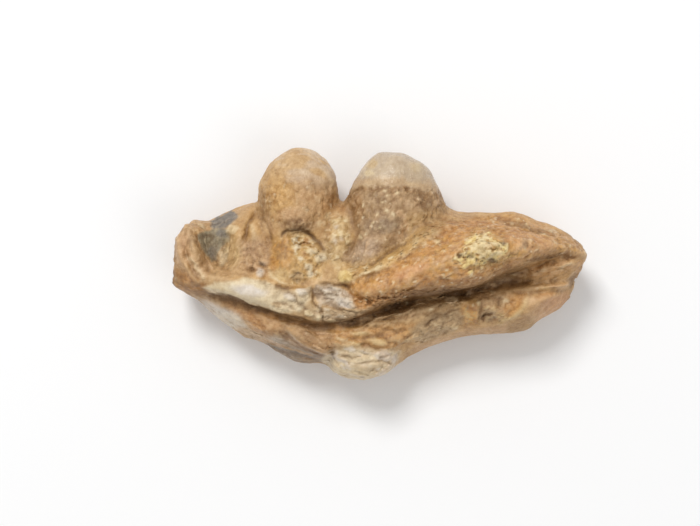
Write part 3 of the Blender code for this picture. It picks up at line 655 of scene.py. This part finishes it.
lift += low_layers * 0.04 * clouds(0.15, 174, 3)
CRACKS = [
    ([(-2.2, -1.02), (-1.8, -1), (-1.35, -1.04)], 0.045, 0.06),
    ([(-2.22, -0.82), (-2.17, -1.05), (-2.18, -1.28)], 0.05, 0.06),
    ([(-2.18, -1.25), (-1.98, -1.42), (-1.85, -1.62)], 0.05, 0.07),
    ([(-1.5, -1.5), (-1.1, -1.55), (-0.75, -1.62)], 0.05, 0.07),
    ([(-2, -0.66), (-1.5, -0.7), (-1.15, -0.68)], 0.05, 0.06),
    ([(-1.35, -1.92), (-0.9, -1.85), (-0.7, -1.7)], 0.05, 0.06),
    ([(-1.95, -1.6), (-1.85, -1.85), (-1.78, -2)], 0.05, 0.06), ([(-1.9, -1.15), (-1.5, -1.2)], 0.04, 0.04),
]
for line, width, depth in CRACKS:
    lift -= depth * stroke(line, 0.8 * width)
    earth.cover(0.7 * stroke(line, 0.8 * width))
earth.cover(0.6 * oval((-1.15, -1.1), (0.1, 0.05), -60, 0.9))
LAYER_CRUMBS = [((-2.02, -1.78), (0.14, 0.12)), ((-1.58, -1.95), (0.2, 0.07)), ((-2.3, -1.66), (0.14, 0.07))]
set_spots(LAYER_CRUMBS, 0.08, 0.8, cream, 0.9, 0.6)

# The long groove
# The channel that held the gristle of the growing jaw. Dark clay lines its floor, with painted shadow under
# the ledge's lip and painted shade on the ridge's flank above it, and crumbling brown layers of bone step
# down into it.
GROOVE = [
    (-6.4, -0.88), (-5.8, -1.04), (-5, -1.26), (-4.3, -1.38), (-3.8, -1.6), (-3.2, -1.86), (-2.5, -2.02),
    (-1.8, -2.1), (-1.1, -2.04), (-0.6, -1.8), (0.1, -1.62), (0.7, -1.42), (1.4, -1.1), (2.2, -0.98),
    (3, -0.95), (3.7, -0.72), (4.4, -0.38), (5, -0.06), (5.7, 0.16), (6.7, 0.24),
]
far, side, share = along(LIP)
on_ledge = ramp(far * side, -0.02, 0.03) * ramp(share, 1, 0.93)
channel = stroke(GROOVE, 0.2) * (1 - on_ledge)
left_half = ramp(x_at, -0.6, -1.6)
umber.cover(0.9 * channel * (1 - 0.6 * low_layers))
WIDE_FLOOR = [
    (0, -1.5), (1.4, -0.95), (3, -0.82), (4.2, -0.3), (5, 0), (5, -0.5), (3.9, -0.9), (2.6, -1.15),
    (0.8, -1.5),
]
wide_floor = patch(WIDE_FLOOR, 0.14) * ramp(x_at + 0.5 * clouds(0.35, 188, 3), 5.2, 3.8)
umber.cover(0.85 * wide_floor)
mouse.cover(0.7 * oval((4.2, -0.45), (1.2, 0.34), 22))
# A painted shadow under the ledge's lip, laid on in the dark earth colour
lip_shade = flake(LIP[::-1], 1, 0.13, 0.025) * (1 - on_ledge)
earth.cover(0.85 * lip_shade + 0.7 * stroke([(x, y + 0.04) for x, y in GROOVE[6:12]], 0.09))
earth.cover(0.75 * stroke([(0.2, -1.45), (1.4, -1.02), (2.4, -0.9), (3.2, -0.85)], 0.14))
# Rust and brown darkening down the ridge's lower flank above the groove: painted shade where the flank turns
# away from the lamp
ABOVE_GROOVE = [(0.6, -1.12), (1.4, -0.8), (2.2, -0.66), (3, -0.56), (3.8, -0.28), (4.6, 0.05)]
rust.cover(0.5 * stroke(ABOVE_GROOVE, 0.2))
brown.cover(0.45 * stroke([(x, y - 0.1) for x, y in ABOVE_GROOVE], 0.13))
middle = oval((-0.35, -1.75), (1, 0.4), 22)
lift += 0.12 * channel * left_half + 0.05 * wide_floor + 0.14 * middle
bed = np.clip(wide_floor + channel, 0, 1)
tops, kinds = rubble(bed * (1 - 0.7 * left_half), 0.24, 0.09, 181, (1.8, 1, 1), 18)
flesh.cover(0.4 * bed * ramp(kinds, 0.65, 0.8) * tops)
rosy.cover(0.5 * bed * ramp(kinds, 0.9, 0.95) * tops)
lay_on(middle, (brown, 0.55), (flesh, 0.6, kinds, 0.4, 0.6), (rosy, 0.6, kinds, 0.75, 0.85))
SECOND_STREAK = [(-0.6, -1.95), (0, -1.85), (0.6, -1.8), (1.3, -1.62)]
draw_lines([SECOND_STREAK], -0.07, 0.07, earth, 0.5, 0.07)
BETWEEN_STREAKS = [(-0.75, -1.92), (-0.3, -1.82), (0.2, -1.74), (0.8, -1.6)]
draw_lines([BETWEEN_STREAKS], 0.08, 0.07, mouse, 0.6, 0.07)

BROWN_LAYERS = [
    (-0.6, -1.95), (0.6, -1.62), (1.6, -1.15), (3, -1.15), (2.6, -1.5), (1.6, -1.75), (0.4, -2.1),
    (-0.8, -2.2),
]
brown_layers = patch(BROWN_LAYERS, 0.14)
lift += 0.06 * brown_layers
_, kinds = rubble(brown_layers, 0.26, 0.09, 184, (2, 1, 1), 20)
lay_on(brown_layers, (tan, 0.85), (brown, 0.35, kinds, 0.6, 0.4), (rosy, 0.7, kinds, 0.7, 0.8))
lift += brown_layers * 0.05 * clouds(0.18, 185, 3, (2, 1, 1), 18)
chip = oval((2.42, -1.22), (0.28, 0.13), 18, 0.4)
lift += 0.12 * chip
lay_on(chip, (rosy, 0.95), (cream, 0.4))
GROOVE_GRAINS = [
    ((3.8, -0.94), (0.14, 0.05)), ((1.72, -1.55), (0.12, 0.06), 10), ((0.95, -1.32), (0.07, 0.06)),
]
set_spots(GROOVE_GRAINS, 0.04, 0.6, cream, 0.6, 0.6)

# The right end of the groove
# Here the groove forks into three: a thin line under the ridge, a wider one below it, and a last one close to
# the lower edge, with a low rib and a thin bright ridge between them.
LOW_RIB = [(4.9, -0.35), (5.5, -0.22), (6.1, -0.02), (6.6, 0.08)]
UPPER_FORK = [(5, 0.06), (5.5, 0.18), (6, 0.25), (6.75, 0.25)]
SECOND_LINE = [(4.3, -0.72), (4.8, -0.74), (5.3, -0.62), (6, -0.58), (6.6, -0.52)]
THIRD_LINE = [(3.9, -0.97), (5, -1), (5.7, -0.92), (6.45, -0.87)]
end_of_groove = oval((5.6, -0.35), (1.3, 0.75))
tan.cover(0.6 * end_of_groove)
_, kinds = rubble(end_of_groove, 0.24, 0.05, 187, (2.5, 1, 1), 8)
amber.cover(0.8 * stroke(LOW_RIB, 0.28))
rosy.cover(0.3 * stroke(LOW_RIB, 0.22))
rosy.cover(0.5 * end_of_groove * ramp(kinds, 0.6, 0.75))
lift += 0.07 * stroke(LOW_RIB, 0.15) + 0.05 * stroke([(5.9, -0.12), (6.4, 0.02)], 0.06)
cream.cover(
    0.5 * stroke([(6, -0.15), (6.3, -0.02), (6.5, 0)], 0.07) + 0.3 * stroke([(5.3, -0.3), (5.6, -0.2)], 0.07)
)
brown.cover(0.25 * stroke(SECOND_LINE, 0.12) + 0.35 * stroke(THIRD_LINE, 0.09))
umber.cover(0.3 * stroke([(4.3, -0.72), (4.7, -0.72), (5.1, -0.66)], 0.12) + 0.65 * stroke(UPPER_FORK, 0.08))
earth.cover(0.6 * oval((4.58, -0.68), (0.18, 0.12)))
lift += 0.09 * stroke([(5, -0.62), (6, -0.58), (6.6, -0.52)], 0.14) - 0.03 * stroke(THIRD_LINE, 0.08)
lift -= 0.04 * stroke(UPPER_FORK, 0.06)
BRIGHT_RIDGE = [(5.68, -0.78), (6.1, -0.72), (6.48, -0.66)]
draw_lines([BRIGHT_RIDGE], 0.06, 0.06, rosy, 0.85, 0.06)
tan.cover(0.6 * stroke([(4, -0.9), (4.4, -0.86), (4.8, -0.88)], 0.08))
amber.cover(0.45 * oval((6.8, -0.15), (0.25, 0.4)))
worn_break = ramp(out[:, 0], 0.45, 0.8) * ramp(x_at, 6.1, 6.5) * ramp(z_at, 2.6, 2)
_, kinds = rubble(worn_break, 0.28, 0.03, 189, layer=swell)
lay_on(worn_break, (umber, 0.45, kinds, 0.4, 0.25), (rosy, 0.5, kinds, 0.6, 0.75))

# The lower edge, left of the bump
# Pale lilac bone along the outline, an orange-brown stain under the groove, and one over the other the plates
# of the bone's lower wall, split along its fibres.
LOWER_WALL = [
    (-6.2, -1.1), (-5, -1.45), (-4, -1.75), (-3.2, -2.1), (-1.8, -2.25), (-1.6, -3.4), (-3.3, -3.2),
    (-5.3, -2.1),
]
lower_wall = patch(LOWER_WALL, 0.14)
lay_on(lower_wall, (rosy, 0.6), (ash, 0.45))
pale_wall = patch([(-6, -1.3), (-5.1, -1.46), (-4.62, -1.66), (-4.5, -2.2), (-5.3, -2.1)], 0.1)
lay_on(pale_wall, (lilac, 0.9), (rosy, 0.2, clouds(0.4, 198, 2), -0.2, 0.3), (cream, 0.3, y_at, -1.4, -1.9))
STAIN = [(-5.2, -1.35), (-4.3, -1.5), (-3.5, -1.8), (-3.1, -2.2), (-3.6, -2.4), (-4.25, -2.2), (-4.6, -1.75)]
stain = patch(STAIN, 0.16)
lay_on(stain, (amber, 0.6), (rust, 0.75, clouds(0.22, 196, 3), -0.3, 0.3))
brown.cover(0.5 * stroke([(-5.4, -1.34), (-4.6, -1.48), (-3.9, -1.72), (-3.3, -2.05)], 0.13))
brown.cover(0.6 * patch([(-3.9, -2.28), (-3.2, -2.15), (-2.7, -2.2), (-2.9, -2.5), (-3.6, -2.5)], 0.12))
flesh.cover(0.4 * lower_wall * ramp(y_at, -2.5, -2.9))
slate.cover(
    0.6 * patch([(-3.9, -2.65), (-2.9, -2.85), (-1.8, -3.05), (-1.7, -3.5), (-3.3, -3.3), (-4.2, -2.7)], 0.12)
)
ash.cover(
    0.85 * oval((-3.35, -2.64), (0.62, 0.2), -16, 0.9) + 0.7 * oval((-2.65, -2.92), (0.6, 0.13), -18, 0.9)
)
lilac.cover(0.35 * oval((-3.3, -2.62), (0.45, 0.12), -16, 0.9))
slate.cover(0.85 * stroke([(-3.7, -2.72), (-3, -2.95), (-2.2, -3.2)], 0.08))
lower_bands = clouds(0.2, 199, 3, (4, 1, 1), -22) * lower_wall * ramp(y_at, -2.4, -2.7)
rosy.cover(0.6 * ramp(lower_bands, 0.1, 0.35))
umber.cover(0.4 * ramp(lower_bands, -0.1, -0.4))
brown.cover(0.35 * oval((-2.3, -3.3), (0.4, 0.16), -10))
PLATE = [(-3.05, -2.18), (-2.3, -2.2), (-1.5, -2.35), (-1.5, -3.1), (-2, -2.95), (-2.6, -2.6)]
PLATE_EDGE = [(-3.15, -2.2), (-2.75, -2.55), (-2.2, -2.9), (-1.55, -3.15)]
plate = patch(PLATE, 0.06)
tops, kinds = rubble(plate, 0.22, 0.06, 192, (3, 1, 1), -32)
lay_on(plate, (amber, 0.5), (rosy, 0.85, kinds, 0.5, 0.65))
brown.cover(0.45 * plate * ramp(kinds, 0.4, 0.25) + 0.2 * plate * ramp(tops, 0.3, 0))
lift += flake(PLATE_EDGE, 0.16, 0.7, 0.035) + plate * 0.04 * sheets(0.17, -32, 191, 4)
# Umber just below the plate's edge is painted shadow cast by the raised plate
umber.cover(0.7 * stroke([(x - 0.06, y - 0.07) for x, y in PLATE_EDGE], 0.06))
lift += lower_wall * (1 - plate) * 0.03 * clouds(0.35, 195, 3, (2, 1, 1), -25)
rubble(lower_wall * (1 - plate), 0.22, 0.04, 197, (2.5, 1, 1), -25)
CREVICE = [(-3.35, -2.28), (-3.15, -2.5), (-3, -2.55)]
lift -= 0.06 * stroke(CREVICE, 0.08) + 0.05 * stroke([(-3.9, -2.62), (-3, -2.82), (-2.2, -3.05)], 0.06)
umber.cover(0.6 * stroke(CREVICE, 0.09))

# The bump on the lower edge
# A knob of cream bone that stands out of the lower edge, flaking in thin sheets, with tan layers above it.
ABOVE_BUMP = [(-1.6, -2.15), (0.2, -2.1), (1.2, -2), (1, -2.6), (0.4, -2.95), (-0.8, -2.75), (-1.5, -2.8)]
above_bump = patch(ABOVE_BUMP, 0.14)
tops, kinds = rubble(above_bump, 0.28, 0.05, 202, (2, 1, 1), -16)
lay_on(above_bump, (tan, 0.8), (amber, 0.5, kinds, 0.5, 0.35))
cream.cover(0.7 * above_bump * ramp(kinds, 0.74, 0.84) * tops)
brown.cover(0.15 * above_bump * ramp(tops, 0.3, 0) + 0.5 * above_bump * ramp(clouds(0.25, 201, 3), 0, 0.4))
lift += above_bump * 0.03 * clouds(0.18, 203, 3)
SLABS = [
    ((-0.6, -2.32), (0.42, 0.1), -8), ((-0.05, -2.6), (0.4, 0.14), -14), ((-0.75, -2.62), (0.3, 0.08), -10),
]
set_spots(SLABS, 0.06, 0.7, straw, 0.7, 0.6)
BUMP = [(-1.6, -2.95), (-0.9, -2.75), (0.1, -2.9), (0.7, -3), (0.4, -4.2), (-1.8, -4.2), (-1.9, -3.2)]
bump = patch(BUMP, 0.12)
_, kinds = rubble(bump, 0.3, 0.055, 206, (2, 1, 1), -12)
lay_on(
    bump, (cream, 0.92), (lilac, 0.7, kinds, 0.1, 0.6), (rosy, 0.3, clouds(0.3, 205, 3) + 0.4 * x_at, 0, 0.5),
)
lift += bump * (0.045 * sheets(0.28, -14, 204, 2.5, 1.8) + 0.02 * clouds(0.22, 207, 3))
swell += 0.02 * bump * clouds(0.25, 208, 2)
# The lilac strip on the bump's right rim is partly pale bone and partly painted light, lifting the rim where
# it curves away from the lamps
lilac.cover(0.2 * bump + 0.5 * oval((0.5, -3.2), (0.1, 0.22), -15))
rosy.cover(0.12 * bump)
FLAKE_CRACKS = [
    ([(-0.65, -2.62), (-0.3, -2.72), (0.05, -2.86)], 0.05, 0.05),
    ([(0, -3.14), (0.25, -3.12), (0.42, -3.06)], 0.05, 0.04),
    ([(-0.72, -3.3), (-0.3, -3.26), (0.15, -3.24), (0.45, -3.36)], 0.045, 0.04),
    ([(-1.55, -2.92), (-1.58, -3.1), (-1.52, -3.22)], 0.06, 0.08),
    ([(-1.3, -3.1), (-0.9, -3.12), (-0.5, -3.02)], 0.04, 0.04),
    ([(-1, -2.45), (-0.5, -2.5), (0.2, -2.4)], 0.05, 0.05),
    ([(0.75, -2.75), (0.9, -2.55), (1.2, -2.3)], 0.05, 0.05),
    ([(0.1, -2.2), (0.5, -2.28), (1, -2.2)], 0.05, 0.05),
]
for line, width, depth in FLAKE_CRACKS:
    lift -= depth * stroke(line, width)
    brown.cover(0.55 * stroke(line, 0.8 * width))
for spot in ((-0.92, -3.86), (-0.58, -3.78), (-0.25, -3.62)):
    lift -= 0.05 * oval(spot, (0.14, 0.07), 0, 0.9)
    umber.cover(0.5 * oval(spot, (0.14, 0.06), 0, 0.9))

# The lower edge, right of the bump
# Brown layers, a worn olive-grey flat, upright ochre stripes beside a dark hollow, and a yellow arc that ends
# at the smooth pinkish swelling of the jaw's end.
FLAT_PLACE = [(1.3, -2), (1.9, -1.7), (2.75, -1.5), (2.85, -2.1), (2.2, -2.45), (1.4, -2.7), (1, -2.5)]
flat_place = patch(FLAT_PLACE, 0.12)
tops, kinds = rubble(flat_place, 0.3, 0.06, 211)
lay_on(
    flat_place, (tan, 0.8), (ash, 0.15), (olive, 0.2, kinds, 0.5, 0.35), (cream, 0.45, kinds, 0.55, 0.75),
    (brown, 0.12, tops, 0.3, 0),
)
under_edge = patch([(1.2, -2.7), (2.2, -2.45), (3, -2.2), (4.3, -2), (4.3, -2.5), (1.2, -3.2)], 0.14)
rosy.cover(0.6 * under_edge)
stripes = patch([(2.82, -1.35), (3.35, -1.45), (3.3, -2.05), (2.9, -2.1)], 0.14)
upright = clouds(0.12, 213, 2, (1, 4, 1), 6)
lay_on(
    stripes, (gold, 0.9), (rust, 0.9, upright, 0, 0.2), (straw, 0.8, upright, -0.1, -0.35),
    (brown, 0.6, upright, 0.25, 0.45),
)
lift += 0.05 * stripes * upright
mixed = patch([(3.3, -1.05), (4.3, -1), (4.6, -1.5), (4.1, -2), (3.4, -2)], 0.12)
_, kinds = rubble(mixed, 0.26, 0.06, 215)
lay_on(
    mixed, (tan, 0.85), (straw, 0.7, kinds, 0.45, 0.6), (rosy, 0.4, kinds, 0.35, 0.25),
    (brown, 0.2, kinds, 0.3, 0.2),
)
ochre_end = patch([(4.3, -1.1), (4.95, -1.05), (4.8, -1.6), (4.3, -1.85), (4.2, -1.5)], 0.14)
lay_on(ochre_end, (amber, 0.8), (gold, 0.5, clouds(0.2, 217, 3), -0.2, 0.2))
YELLOW_ARC = [(3.95, -2.02), (4.55, -1.78), (4.85, -1.42), (5, -1.1)]
draw_lines([YELLOW_ARC], 0.05, 0.09, straw, 0.65, 0.09)
end_swelling = patch([(5, -1.1), (5.7, -1), (6.5, -1), (6.7, -1.4), (5.5, -2), (4.9, -1.8)], 0.16)
lay_on(end_swelling, (rosy, 0.5), (salmon, 0.6, x_at, 4.9, 6))
brown.cover(0.35 * patch([(4.3, -2), (5.3, -1.8), (5.2, -2.4), (4.4, -2.5)], 0.14))
deep_hole = patch(
    [(3.74, -1.62), (3.8, -1.72), (3.6, -1.84), (3.54, -1.98), (3.47, -1.92), (3.5, -1.74)], 0.04,
)
lift += 0.18 * oval((3.64, -1.82), (0.46, 0.46), 0, 1) - 0.05 * deep_hole
olive.cover(0.35 * oval((3.66, -1.75), (0.34, 0.36)))
umber.cover(0.85 * deep_hole)
BROWN_CRACKS = [
    [(1.5, -1.7), (2, -1.74), (2.5, -1.55), (2.75, -1.52)], [(1.5, -2.1), (1.75, -1.95), (2, -1.8)],
    [(4, -1.1), (3.98, -1.45)], [(3.38, -1.3), (3.42, -1.7), (3.36, -2)],
]
draw_lines(BROWN_CRACKS, -0.06, 0.055, earth, 0.45, 0.06)
EDGE_GRAINS = [
    ((3.32, -1.35), (0.1, 0.1)), ((4.2, -1.28), (0.17, 0.12)), ((2.55, -2.18), (0.1, 0.07)),
    ((3.15, -1.42), (0.06, 0.08)),
]
set_spots(EDGE_GRAINS, 0.05, 0.8, cream, 0.65, 0.8)

# The outer face, which the jaw lies on
# Plain bone, worn flat where it rests, with the tan and ochre of the rest, fine fibres along the jaw, a few
# cracks and dark clay in its nerve openings.
below = 1 - upper
under = np.clip(0.35 - 1.5 * out[:, 2], 0, 1)  # how far a point looks down
grain = clouds(0.2, 224, 3, (5, 1, 1))
lay_on(
    below, (tan, 0.8), (ochre, 0.6, clouds(1.3, 221, 3), 0, 0.4), (ash, 0.45, clouds(0.9, 222, 3), 0.1, 0.5),
    (brown, 0.6, clouds(0.5, 223, 3, (3, 1, 1)), 0.1, 0.5), (amber, 0.5, clouds(0.7, 226, 3), 0, 0.4),
    (cream, 0.45, clouds(0.4, 227, 3, (2, 1, 1)), 0.2, 0.5),
    (rust, 0.4, grain, -0.1, -0.5), (rosy, 0.4, grain, 0.2, 0.6),
)
rubble(below, 0.4, 0.03, 229, (3, 1, 1), 4, swell)
swell += below * (0.026 * grain + 0.014 * clouds(0.12, 225, 2))
split = below * ramp(np.abs(clouds(1.1, 228, 3, (3, 1, 1), 5)), 0.035, 0)
swell -= 0.04 * split
umber.cover(0.55 * split)
NERVE_OPENINGS = [(-4.9, 0.9), (-3.3, 1.5), (-0.9, 1.3), (1.1, 1.4), (3.2, 1)]
for spot in NERVE_OPENINGS:
    opening = np.exp(-(((plan - spot) / (0.22, 0.13)) ** 2).sum(axis=1)) * under
    swell -= 0.16 * opening
    earth.cover(0.9 * opening)

# The finished skin
# All the relief is put on the points, the worn face is kept level, and what lies deeper than its surroundings
# is darkened by painted shade mixed with dirt, while edges that stand out are rubbed pale.
LEVEL = 0.25  # below this height the relief fades, so that the jaw lies flat
DEEPEST = -0.55  # the lowest and the highest that the relief may reach
HIGHEST = 0.4
fade = ramp(z_at, 0, LEVEL)
facing = np.clip(0.35 + 1.5 * out[:, 2], 0, 1)  # how far a point looks up
lift = np.clip(lift, DEEPEST, HIGHEST)
moved = at + out * (swell * fade)[:, None]
moved[:, 2] += lift * facing * fade
low, high = (np.array(corner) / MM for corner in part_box("jaw_section"))
moved[:, 2] = np.maximum(moved[:, 2], low[2])
skin.vertices.foreach_set("co", moved.ravel())
skin.update()

edges = read(skin.edges, "vertices", 2)
neighbours = np.bincount(edges.ravel(), minlength=count)[:, None]
finished_normals = read(skin.vertices, "normal", 3)


def evened(places, steps):
    """The points after each has moved, step by step, to the middle of those beside it."""
    for _ in range(steps):
        total = np.zeros_like(places)
        for axis in range(3):
            total[:, axis] += np.bincount(edges[:, 0], places[edges[:, 1], axis], count)
            total[:, axis] += np.bincount(edges[:, 1], places[edges[:, 0], axis], count)
        places = total / neighbours
    return places


def depth_below(steps, full):
    """How far each point lies below (above zero) or stands above its surroundings, as a share of full."""
    return np.clip(((evened(moved, steps) - moved) * finished_normals).sum(axis=1) / full, -1, 1)


fine_depth = depth_below(4, 0.018)
broad_depth = depth_below(30, 0.09)
# Painted shade in the hollows, mixed with dirt: how far each point is darkened for lying below its
# surroundings
hollow_shade_and_dirt = np.clip(0.4 * np.maximum(fine_depth, 0) + 0.8 * np.maximum(broad_depth, 0), 0, 1)
rubbed = np.clip(0.5 * np.maximum(-fine_depth, 0) + 0.5 * np.maximum(-broad_depth, 0), 0, 1)

granular = np.clip(dentine + 0.5 * worn_side + crumble + ridge, 0, 1)
measures = {"hollow_shade_and_dirt": hollow_shade_and_dirt, "rubbed": rubbed, "granular": granular}
measures |= {kind.name: kind.share for kind in Mineral.kinds}
for name, values in measures.items():
    skin.attributes.new(name, "FLOAT", "POINT").data.foreach_set("value", values.astype(np.float32))


class Field:
    """One output of the material's nodes. Sums and products of fields add the nodes that work them out."""

    def __init__(self, tree, socket):
        self.tree = tree
        self.socket = socket

    def node(self, kind, settings, inputs, output=0):
        """Adds a node of this kind; settings are set first, then its sockets get values or links."""
        made = self.tree.nodes.new(kind)
        for name, value in settings.items():
            setattr(made, name, value)
        for name, value in inputs.items():
            if isinstance(value, Field):
                self.tree.links.new(value.socket, made.inputs[name])
            else:
                made.inputs[name].default_value = value
        return Field(self.tree, made.outputs[output])

    def math(self, operation, *others):
        inputs = dict(enumerate([self, *others]))
        return self.node("ShaderNodeMath", {"operation": operation}, inputs)

    def __add__(self, other):
        return self.math("ADD", other)

    def __mul__(self, other):
        return self.math("MULTIPLY", other)

    def __sub__(self, other):
        return self.math("SUBTRACT", other)

    def __rsub__(self, other):
        return (self * -1).math("ADD", other)

    __radd__ = __add__
    __rmul__ = __mul__

    def between(self, start, end):
        """0 where this field is at start, 1 where it is at end, held inside."""
        return self.node("ShaderNodeMapRange", {}, {"Value": self, "From Min": start, "From Max": end})

    def mix(self, first, second):
        """The first colour where this field is 0 and the second where it is 1."""
        return self.node("ShaderNodeMix", {"data_type": "RGBA"}, {0: self, 6: first, 7: second}, 2)

    def vector(self, operation, inputs):
        return self.node("ShaderNodeVectorMath", {"operation": operation}, inputs)


def paint(colour):
    """A picture's colour, 0 to 255, as the light that a surface gives back."""
    shares = [value / 255 for value in colour]
    return (*[s / 12.92 if s <= 0.04045 else ((s + 0.055) / 1.055) ** 2.4 for s in shares], 1)


stone = bpy.data.materials.new("fossil_stone")
stone.use_nodes = True
nodes = stone.node_tree.nodes
surface = nodes["Principled BSDF"]
place = Field(stone.node_tree, nodes.new("ShaderNodeTexCoord").outputs["Object"])
place = place.vector("SCALE", {0: place, "Scale": 1 / MM})


def share_of(name):
    return place.node("ShaderNodeAttribute", {"attribute_name": name}, {}, "Fac")


def mottle(scale, detail=3.0, roughness=0.6):
    """Cloudy noise from 0 to 1; scale is in lumps for each millimetre."""
    inputs = {"Vector": place, "Scale": scale, "Detail": detail, "Roughness": roughness}
    return place.node("ShaderNodeTexNoise", {}, inputs, "Fac")


broad = mottle(1.8).between(0.32, 0.68)
fine = mottle(5.5, 4.0).between(0.30, 0.70)
dust = mottle(22.0, 2.0).between(0.25, 0.75)
blend = (broad * 0.35 + fine * 0.50 + dust * 0.15).between(0.22, 0.78)

colour = None
rough = None
for kind in Mineral.kinds:
    tint = blend.mix(paint(kind.pale), paint(kind.deep))
    part = share_of(kind.name)
    weighted = place.vector("SCALE", {0: tint, "Scale": part})
    colour = weighted if colour is None else place.vector("ADD", {0: colour, 1: weighted})
    rough = part * kind.rough if rough is None else rough + part * kind.rough

wander = place.node("ShaderNodeTexNoise", {}, {"Vector": place, "Scale": 6.0, "Detail": 2.0}, "Color")
wander = place.vector("MULTIPLY_ADD", {0: wander, 1: (0.16, 0.16, 0.16), 2: place})
FLECKS = {"Vector": wander, "Scale": 6.5}  # in flecks for each millimetre
specks = place.node("ShaderNodeTexVoronoi", {"distance": "MANHATTAN"}, FLECKS, "Distance")
pick = place.node("ShaderNodeTexVoronoi", {"distance": "MANHATTAN"}, FLECKS, "Color")
chosen = place.node("ShaderNodeSeparateColor", {}, {"Color": pick}, "Red")
granular = share_of("granular")
# Pale specks, partly pale mineral grains and partly painted glints; the bump raises them and they are made a
# little smoother
pale_grains_and_glints = specks.between(0.75, 0.30) * chosen.between(0.88, 0.91) * (granular * 0.40 + 0.15)
pale_grains_and_glints = pale_grains_and_glints * mottle(1.4).between(0.40, 0.55)
clean = 1 - share_of("enamel") - share_of("lilac") - share_of("cream") * 0.7
black = specks.between(0.70, 0.25) * chosen.between(0.12, 0.09) * (granular * 0.25 + 0.15) * clean
vein = (mottle(3.2, 4.0) - 0.5).math("ABSOLUTE").between(0.03, 0.0) * mottle(1.1).between(0.50, 0.60)
colour = (vein * clean * 0.20).mix(colour, paint((142, 98, 52)))
colour = pale_grains_and_glints.mix(colour, paint((240, 220, 182)))
colour = black.mix(colour, paint((104, 72, 40)))
# Painted shade mixed with dirt darkens the hollows towards brown
colour = (share_of("hollow_shade_and_dirt") * (fine * 0.5 + 0.5) * 0.48).mix(colour, paint((112, 80, 44)))
colour = (share_of("rubbed") * (dust * 0.5 + 0.5) * 0.28).mix(colour, paint((236, 208, 162)))

GRAIN_DEPTH = 0.035
height = fine * 0.7 + dust * 0.15 + pale_grains_and_glints * 0.5 - vein * 0.2
relief = {"Height": height, "Distance": GRAIN_DEPTH * MM, "Strength": 0.8}
bumps = place.node("ShaderNodeBump", {}, relief, "Normal")
for name, field in (
    ("Base Color", colour),
    ("Roughness", rough - 0.08 + (dust - 0.5) * 0.2 - pale_grains_and_glints * 0.2),
    ("Normal", bumps),
    ("Coat Weight", share_of("enamel") * 0.25),
):
    stone.node_tree.links.new(field.socket, surface.inputs[name])
surface.inputs["Coat Roughness"].default_value = 0.3
surface.inputs["Specular IOR Level"].default_value = 0.5

skin.transform(Matrix.Scale(MM, 4))
skin.shade_smooth()
skin.materials.clear()
skin.materials.append(stone)
jaw = bpy.data.objects.new("fossil_jaw", skin)
bpy.context.scene.collection.objects.link(jaw)
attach(jaw, "root")
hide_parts("jaw_section")

# The table, the lights and the camera
# A plain pale table, a large soft lamp above the teeth and even daylight all round. The camera hangs straight
# over the jaw, as far off as makes the jaw as large as it is in the photograph.
PICTURE_WIDTH = 700  # the photograph's size, in pixels
PICTURE_HEIGHT = 526
JAW_LEFT = 171  # where the jaw starts and ends in it
JAW_RIGHT = 586
JAW_TOP = 148
JAW_BOTTOM = 379
LENS = 100
SENSOR = 36
SHOWN_HEIGHT = 1.8  # height above the table of the jaw's widest outline

pixel = (high[0] - low[0]) / (JAW_RIGHT - JAW_LEFT)
table_mesh = bpy.data.meshes.new("table")
TABLE = 400  # half the table's width
TABLE_TOP = -0.002  # just under the jaw, so that the two never fight for one place
corners = [(-TABLE, -TABLE), (TABLE, -TABLE), (TABLE, TABLE), (-TABLE, TABLE)]
table_mesh.from_pydata([(x * MM, y * MM, TABLE_TOP * MM) for x, y in corners], [], [(0, 1, 2, 3)])
table = bpy.data.objects.new("table", table_mesh)
bpy.context.scene.collection.objects.link(table)
pale = bpy.data.materials.new("pale_table")
pale.use_nodes = True
pale.node_tree.nodes["Principled BSDF"].inputs["Base Color"].default_value = (0.92, 0.92, 0.92, 1)
pale.node_tree.nodes["Principled BSDF"].inputs["Roughness"].default_value = 0.9
table_mesh.materials.append(pale)

DAYLIGHT = 0.55
world = bpy.data.worlds.new("daylight")
bpy.context.scene.world = world
world.use_nodes = True
world.node_tree.nodes["Background"].inputs["Color"].default_value = (1, 1, 1, 1)
world.node_tree.nodes["Background"].inputs["Strength"].default_value = DAYLIGHT


def soft_lamp(name, place, size, power):
    """A square lamp that shines at the jaw's middle; place and size in millimetres."""
    lamp = bpy.data.lights.new(name, "AREA")
    lamp.energy = power
    lamp.size = size * MM
    stand = bpy.data.objects.new(name, lamp)
    stand.location = Vector(place) * MM
    stand.rotation_euler = (-Vector(place)).to_track_quat("-Z", "Y").to_euler()
    bpy.context.scene.collection.objects.link(stand)


soft_lamp("lamp_above_teeth", (-45, 95, 140), 55, 0.18)
soft_lamp("lamp_low_right", (90, -80, 140), 110, 0.04)

camera = bpy.data.cameras.new("camera")
camera.lens = LENS
camera.sensor_width = SENSOR
camera.clip_start = MM
eye = bpy.data.objects.new("camera", camera)
eye.rotation_mode = "QUATERNION"
eye.rotation_quaternion = (1, 0, 0, 0)
eye.location = Vector((
    (PICTURE_WIDTH / 2 - (JAW_LEFT + JAW_RIGHT) / 2) * pixel,
    ((JAW_TOP + JAW_BOTTOM) / 2 - PICTURE_HEIGHT / 2) * pixel,
    SHOWN_HEIGHT + PICTURE_WIDTH * pixel * LENS / SENSOR,
)) * MM
bpy.context.scene.collection.objects.link(eye)
bpy.context.scene.camera = eye
bpy.context.scene.view_settings.view_transform = "Standard"
